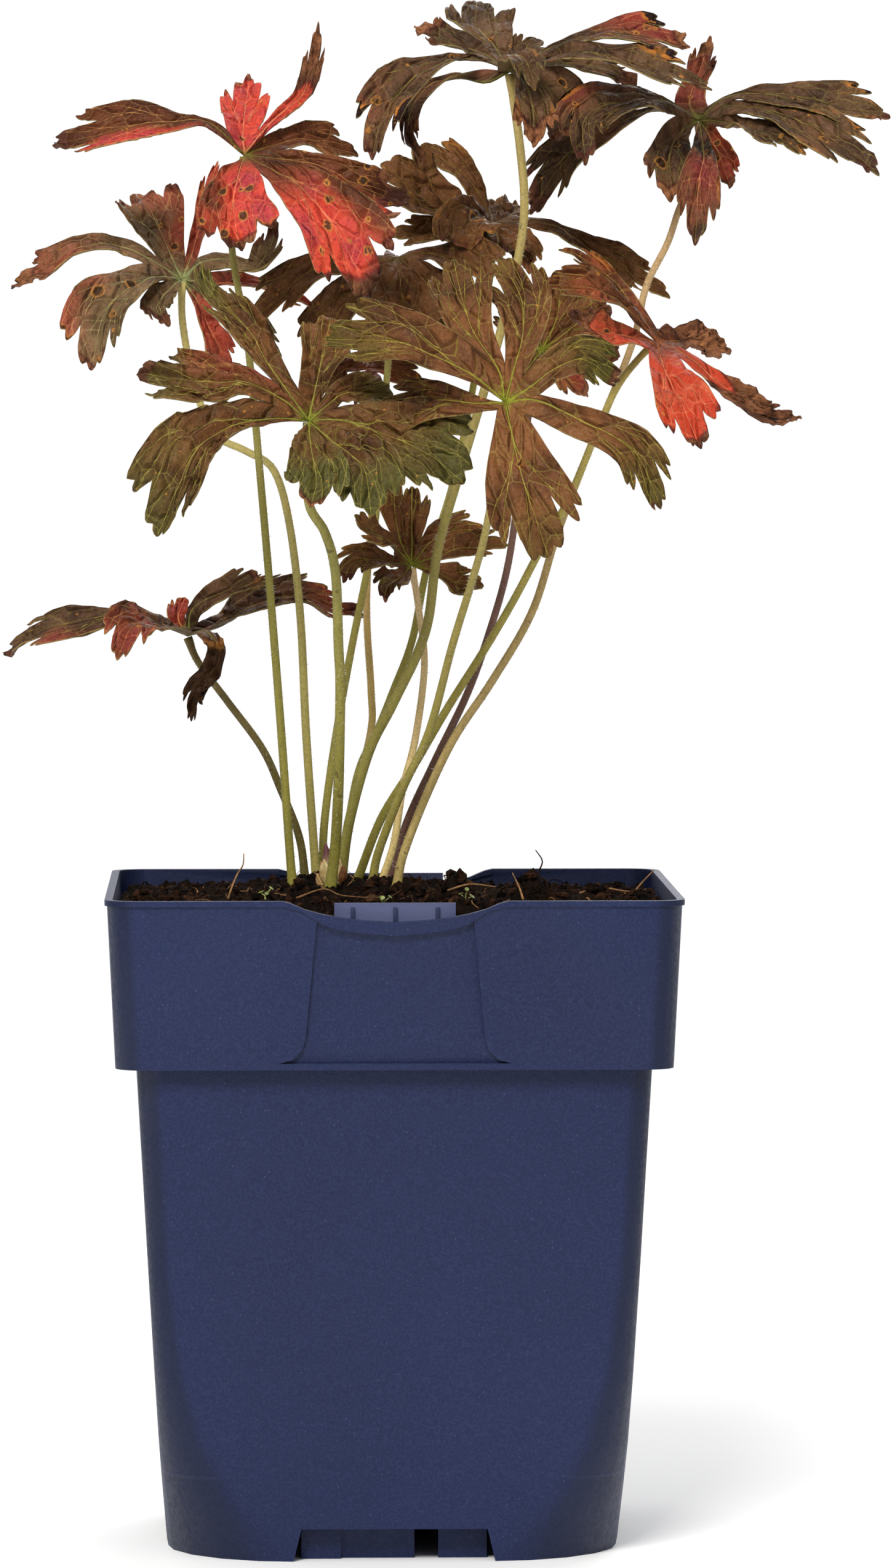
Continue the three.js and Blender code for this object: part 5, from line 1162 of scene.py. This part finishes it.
def blade(letter, lobes):
    """All lobes of a leaf, each a thin solid, sharing the feet of the cuts with its neighbours."""
    rng = np.random.default_rng(100 + ord(letter))
    fields = [ripple_field(rng, scale) for scale in RELIEFS]
    shapers = [lobe_shaper(rng, one, fields) for one in lobes]
    feet = []
    for one, (shaper, _), (other, _) in zip(lobes, shapers, shapers[1:]):
        own, theirs = spot_on(shaper, CUT_FOOT, -1), spot_on(other, CUT_FOOT, 1)
        hub = spot_on(shaper, 0, 0)
        middle = 0.5 * (own + theirs)
        open_gap = np.linalg.norm(own - theirs) / np.linalg.norm(middle - hub)
        feet.append(hub + (middle - hub) * np.clip(1.3 - 0.4 * open_gap, 0.5, 1) * one["web"])
    parts, values = [], []
    for k, ((shaper, length), one) in enumerate(zip(shapers, lobes)):
        squareness = np.clip(END_SQUARENESS * max(one["widths"]) / length, *SQUARENESS_LIMITS)
        squareness = squareness * one["cleft"]
        columns, ends = end_profile(rng, SLIM_END if one["slim"] else BROAD_END, squareness)
        along = np.linspace(0, 1, ROWS + 1)[:, None] ** 0.9 * ends
        aside = np.broadcast_to(columns, along.shape)
        surface, normal, looks = shaper(along, aside)
        if k:
            surface = draw_margin(surface, along, np.clip(aside, 0, 1) ** 2, shaper, 1, feet[k - 1])
        if k < len(feet):
            surface = draw_margin(surface, along, np.clip(-aside, 0, 1) ** 2, shaper, -1, feet[k])
        blot = 0
        for place, sideways, radius in one["blots"]:
            gap = np.hypot((along - place) * length, (aside - sideways) * looks["width"])
            blot = np.maximum(blot, np.clip(1.4 - gap / radius, 0, 1))
        left, right = np.broadcast_to(one["red"], 2)
        looks.update(
            blot=blot, red=right + (left - right) * (0.5 + 0.5 * aside), lobe=k + rng.uniform(0, 0.5),
            rim=np.minimum((ends - along) * length, (1 - np.abs(aside)) * looks["width"]),
            **{key: one[key] for key in ("spots", "green", "burn", "turn")},
        )
        points, faces, source = thin_solid(surface, normal)
        parts.append((points, faces))
        looks = {key: np.broadcast_to(value, along.shape) for key, value in looks.items()}
        looks = {key: value.reshape(-1)[source] for key, value in looks.items()}
        values.append({**looks, "under": np.repeat([0, 1], len(points) // 2)})
    points, faces, _ = gathered(parts)
    return points, faces, {key: np.concatenate([each[key] for each in values]) for key in values[0]}


# ---- Leaf skin -------------------------------------------------------------------------------
# The blades' colours follow the veins: an olive brown sheet with paler veins and a fine net
# between them, a little painted shade in the grooves along them, reds that spread in from the
# margins, scorched tips and black leaf-spot blots.
LEAF_SHADES = {
    # dark and light shades of the sheet, its green, its veins, its two reds, and its hub
    "plain": ("3a2414", "784c2a", "474a22", "a09442", "9c2c1c", "7a2430", "868c30"),
    "front": ("422614", "7e4e2c", "48481c", "a4963e", "a83c24", "7e2f2c", "848a24"),
    "high": ("2a1a12", "6a4a32", "4c4628", "847238", "8c2c1c", "7a2a2c", "6c6e30"),
    "red": ("3e1e10", "6c3a20", "5d4a1c", "b4804a", "cc4430", "aa3840", "6a6426"),
    "orange": ("3c1e0e", "703e22", "54461c", "a8803f", "b83a22", "bc5236", "8a4a26"),
    "pale": ("4a3420", "866a4a", "5a5a34", "a59c62", "a2402e", "8c4a3c", "8f9a60"),
    "dark": ("381f0e", "744a2a", "443a14", "8c7030", "7c2a1c", "5c2320", "5c4a22"),
}
SHADE_OF_LEAF = {"a": "red", "b": "pale", "c": "high", "d": "high", "e": "front", "f": "plain", "g": "dark",
                 "h": "front", "i": "dark", "j": "front", "k": "orange", "l": "high", "n": "orange"}
RED_LEAVES = "ak"
# each fork of the veins: where it starts and ends along the lobe, and its share aside at each
VEIN_FORKS = [(0.18, 0.74, 0.0, 0.6), (0.5, 0.92, 0.0, 0.22), (0.4, 0.7, 0.3, 0.84), (0.6, 0.8, 0.5, 0.36)]
LEAF_LOOKS = ("along", "lateral", "width", "reach", "lobe", "spots", "blot", "green", "red", "turn",
              "burn", "rim", "under", "dry")


def vein_group():
    """Midrib, forking side veins and the net between them, from a point's place on its lobe."""
    tree, (along, across, width, reach, number), result = new_group(
        "leaf_veins", ["Along", "Across", "Width", "Reach", "Lobe"], ["Ribs", "Net", "Relief"],
    )
    flat = wired(tree, "CombineXYZ", {0: along * 0.6, 1: across, 2: number * 9.0})
    bent = (noise(flat, 0.5) - 0.5) * 0.9
    off = abs(across)
    thin = reach.step(0, 0.8, 0.28, 0.11)
    crowded = width.step(2.5, 4.5, 3, 0)
    ribs = 1.0 - off / thin
    for leaves_at, meets_at, start_aside, end_aside in VEIN_FORKS:
        course = reach.step(leaves_at, meets_at, start_aside, end_aside)
        gap = abs(off - course * width + bent)
        gone = reach.step(leaves_at - 0.02, leaves_at, 3, 0) + crowded
        ribs = maths("MAXIMUM", ribs, 0.85 - gap / thin - gone)
    ribs = ribs.step(0, 0.6)
    coarse, fine = (cells(flat, scale, feature="DISTANCE_TO_EDGE") for scale in (0.26, 0.85))
    net = maths("MAXIMUM", coarse.step(0.004, 0.02, 1, 0), fine.step(0.008, 0.04, 0.25, 0))
    feed(result, {"Ribs": ribs, "Net": net, "Relief": maths("MINIMUM", coarse.step(0, 0.22), 1.0 - ribs)})
    return tree


def wear_group():
    """Dark leaf spots with pale rims, and soft blotches, over a point's place on its lobe."""
    tree, (place, spots, blot), result = new_group(
        "leaf_wear", ["Place", "Spots", "Blot"], ["Spot", "Halo", "Blotch", "Speckle"],
    )
    uneven = (noise(place, 900) - 0.5) * 0.16
    spot = cells(place, 210)
    size = spots * split(spot.other("Color"), "SeparateColor")[0].step(0.55, 1, 0, 0.34)
    inside = size - (spot + uneven)
    blot = blot + uneven * 1.6
    feed(result, {
        "Spot": maths("MAXIMUM", inside.step(-0.02, 0.03), blot.step(0.5, 0.75)),
        "Halo": maths("MAXIMUM", inside.step(-0.09, -0.02), blot.step(0.3, 0.55)),
        "Blotch": noise(place, 95, 3), "Speckle": noise(place, 1500),
    })
    return tree


veins, wear = vein_group(), wear_group()


def leaf_finish(name, shades):
    """Sheet colours from brown to green to red, then veins, scorched tips and spots over them."""
    dark, light, green, vein, red, magenta, hub = shades
    material, shader, place = new_finish(name, specular=0.15)
    (along, lateral, width, reach, number, spots, blot, greenness, redness, turn, burn, off_rim, under,
     dry) = (look(shader, key) for key in LEAF_LOOKS)
    on_lobe = {"Along": along, "Across": lateral, "Width": width, "Reach": reach, "Lobe": number}
    ribs = wired(place.tree, "Group", on_lobe, "Ribs", node_tree=veins)
    net, relief = ribs.other("Net"), ribs.other("Relief")
    on_sheet = {"Place": place, "Spots": spots, "Blot": blot}
    spot = wired(place.tree, "Group", on_sheet, "Spot", node_tree=wear)
    halo, blotch, speckle = (spot.other(output) for output in ("Halo", "Blotch", "Speckle"))

    greenness = greenness * reach.step(0.4, 1, 0.5, 1.3) + (blotch - 0.5)
    redness = redness + (blotch - 0.5) * 1.1
    is_red = redness.step(0.25, 0.85) * (reach - turn).step(-0.15, 0.15, 0.1, 1)
    reds = mixed((blotch + speckle * 0.25).step(0.55, 0.85), red, magenta)
    pale = layered(mixed(reach.step(0.05, 0.5), hub, vein), (is_red, "d9825a"))
    burnt = blotch.step(0.5, 0.64) * burn * reach.step(0.5, 0.8)
    past = off_rim - burnt * (speckle + 1.2)
    rim = off_rim.step(0.04, 0.2, 0.55, 0) * reach.step(0.3, 0.38)
    scorch = mixed(blotch.step(0.35, 0.65), "4a2a1c", "94603e")
    # the sheet turns a little towards its dark shade in the grooves along the veins and the net: painted
    # shade
    sheet = layered(
        mixed((blotch + relief * 0.08).step(0.25, 0.8), dark, light),
        (greenness.step(0.25, 0.9, 0, 0.85), green), (is_red, reds),
        (net * 0.3, pale), (ribs * 0.75, pale), (along.step(0.5, 4, 0.6, 0), hub),
        (past.step(0, 0.5, 0.8, 0) * burnt, "b4702c"), (past.step(-0.7, -0.3, 1, 0) * burnt, "24120e"),
        (rim, "a89258"), (speckle.step(0.55, 0.72, 0, 0.45), "241610"),
        (speckle.step(0.3, 0.42, 0.12, 0), "a88a58"), (under * 0.3, "8c7c50"),
        (dry.step(0.1, 0.5, 0, 0.8), "4a221c"),
        (dry.step(0.45, 0.9), layered(scorch, (speckle.step(0.5, 0.75, 0, 0.6), "2c1a12"))),
        (halo * 0.7, "c08038"), (spot * 0.92, mixed(is_red, "1c120e", "4a2c22")),
    )
    feed(shader, {"Base Color": sheet, "Roughness": speckle.step(0.3, 0.7, 0.5, 0.68),
                  "Normal": bump(relief + speckle * 0.35, 0.0008, 0.9)})
    return material


skins = {shade: leaf_finish(f"leaf_skin_{shade}", tones) for shade, tones in LEAF_SHADES.items()}
for letter, each in LEAVES.items():
    points, faces, looks = blade(letter, each["lobes"])
    slot = "leaf_red" if letter in RED_LEAVES else "leaf_olive"
    piece = add_piece(f"leaf_{letter}", points, faces, skins[SHADE_OF_LEAF[letter]], looks)
    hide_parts(f"blade_{letter}")
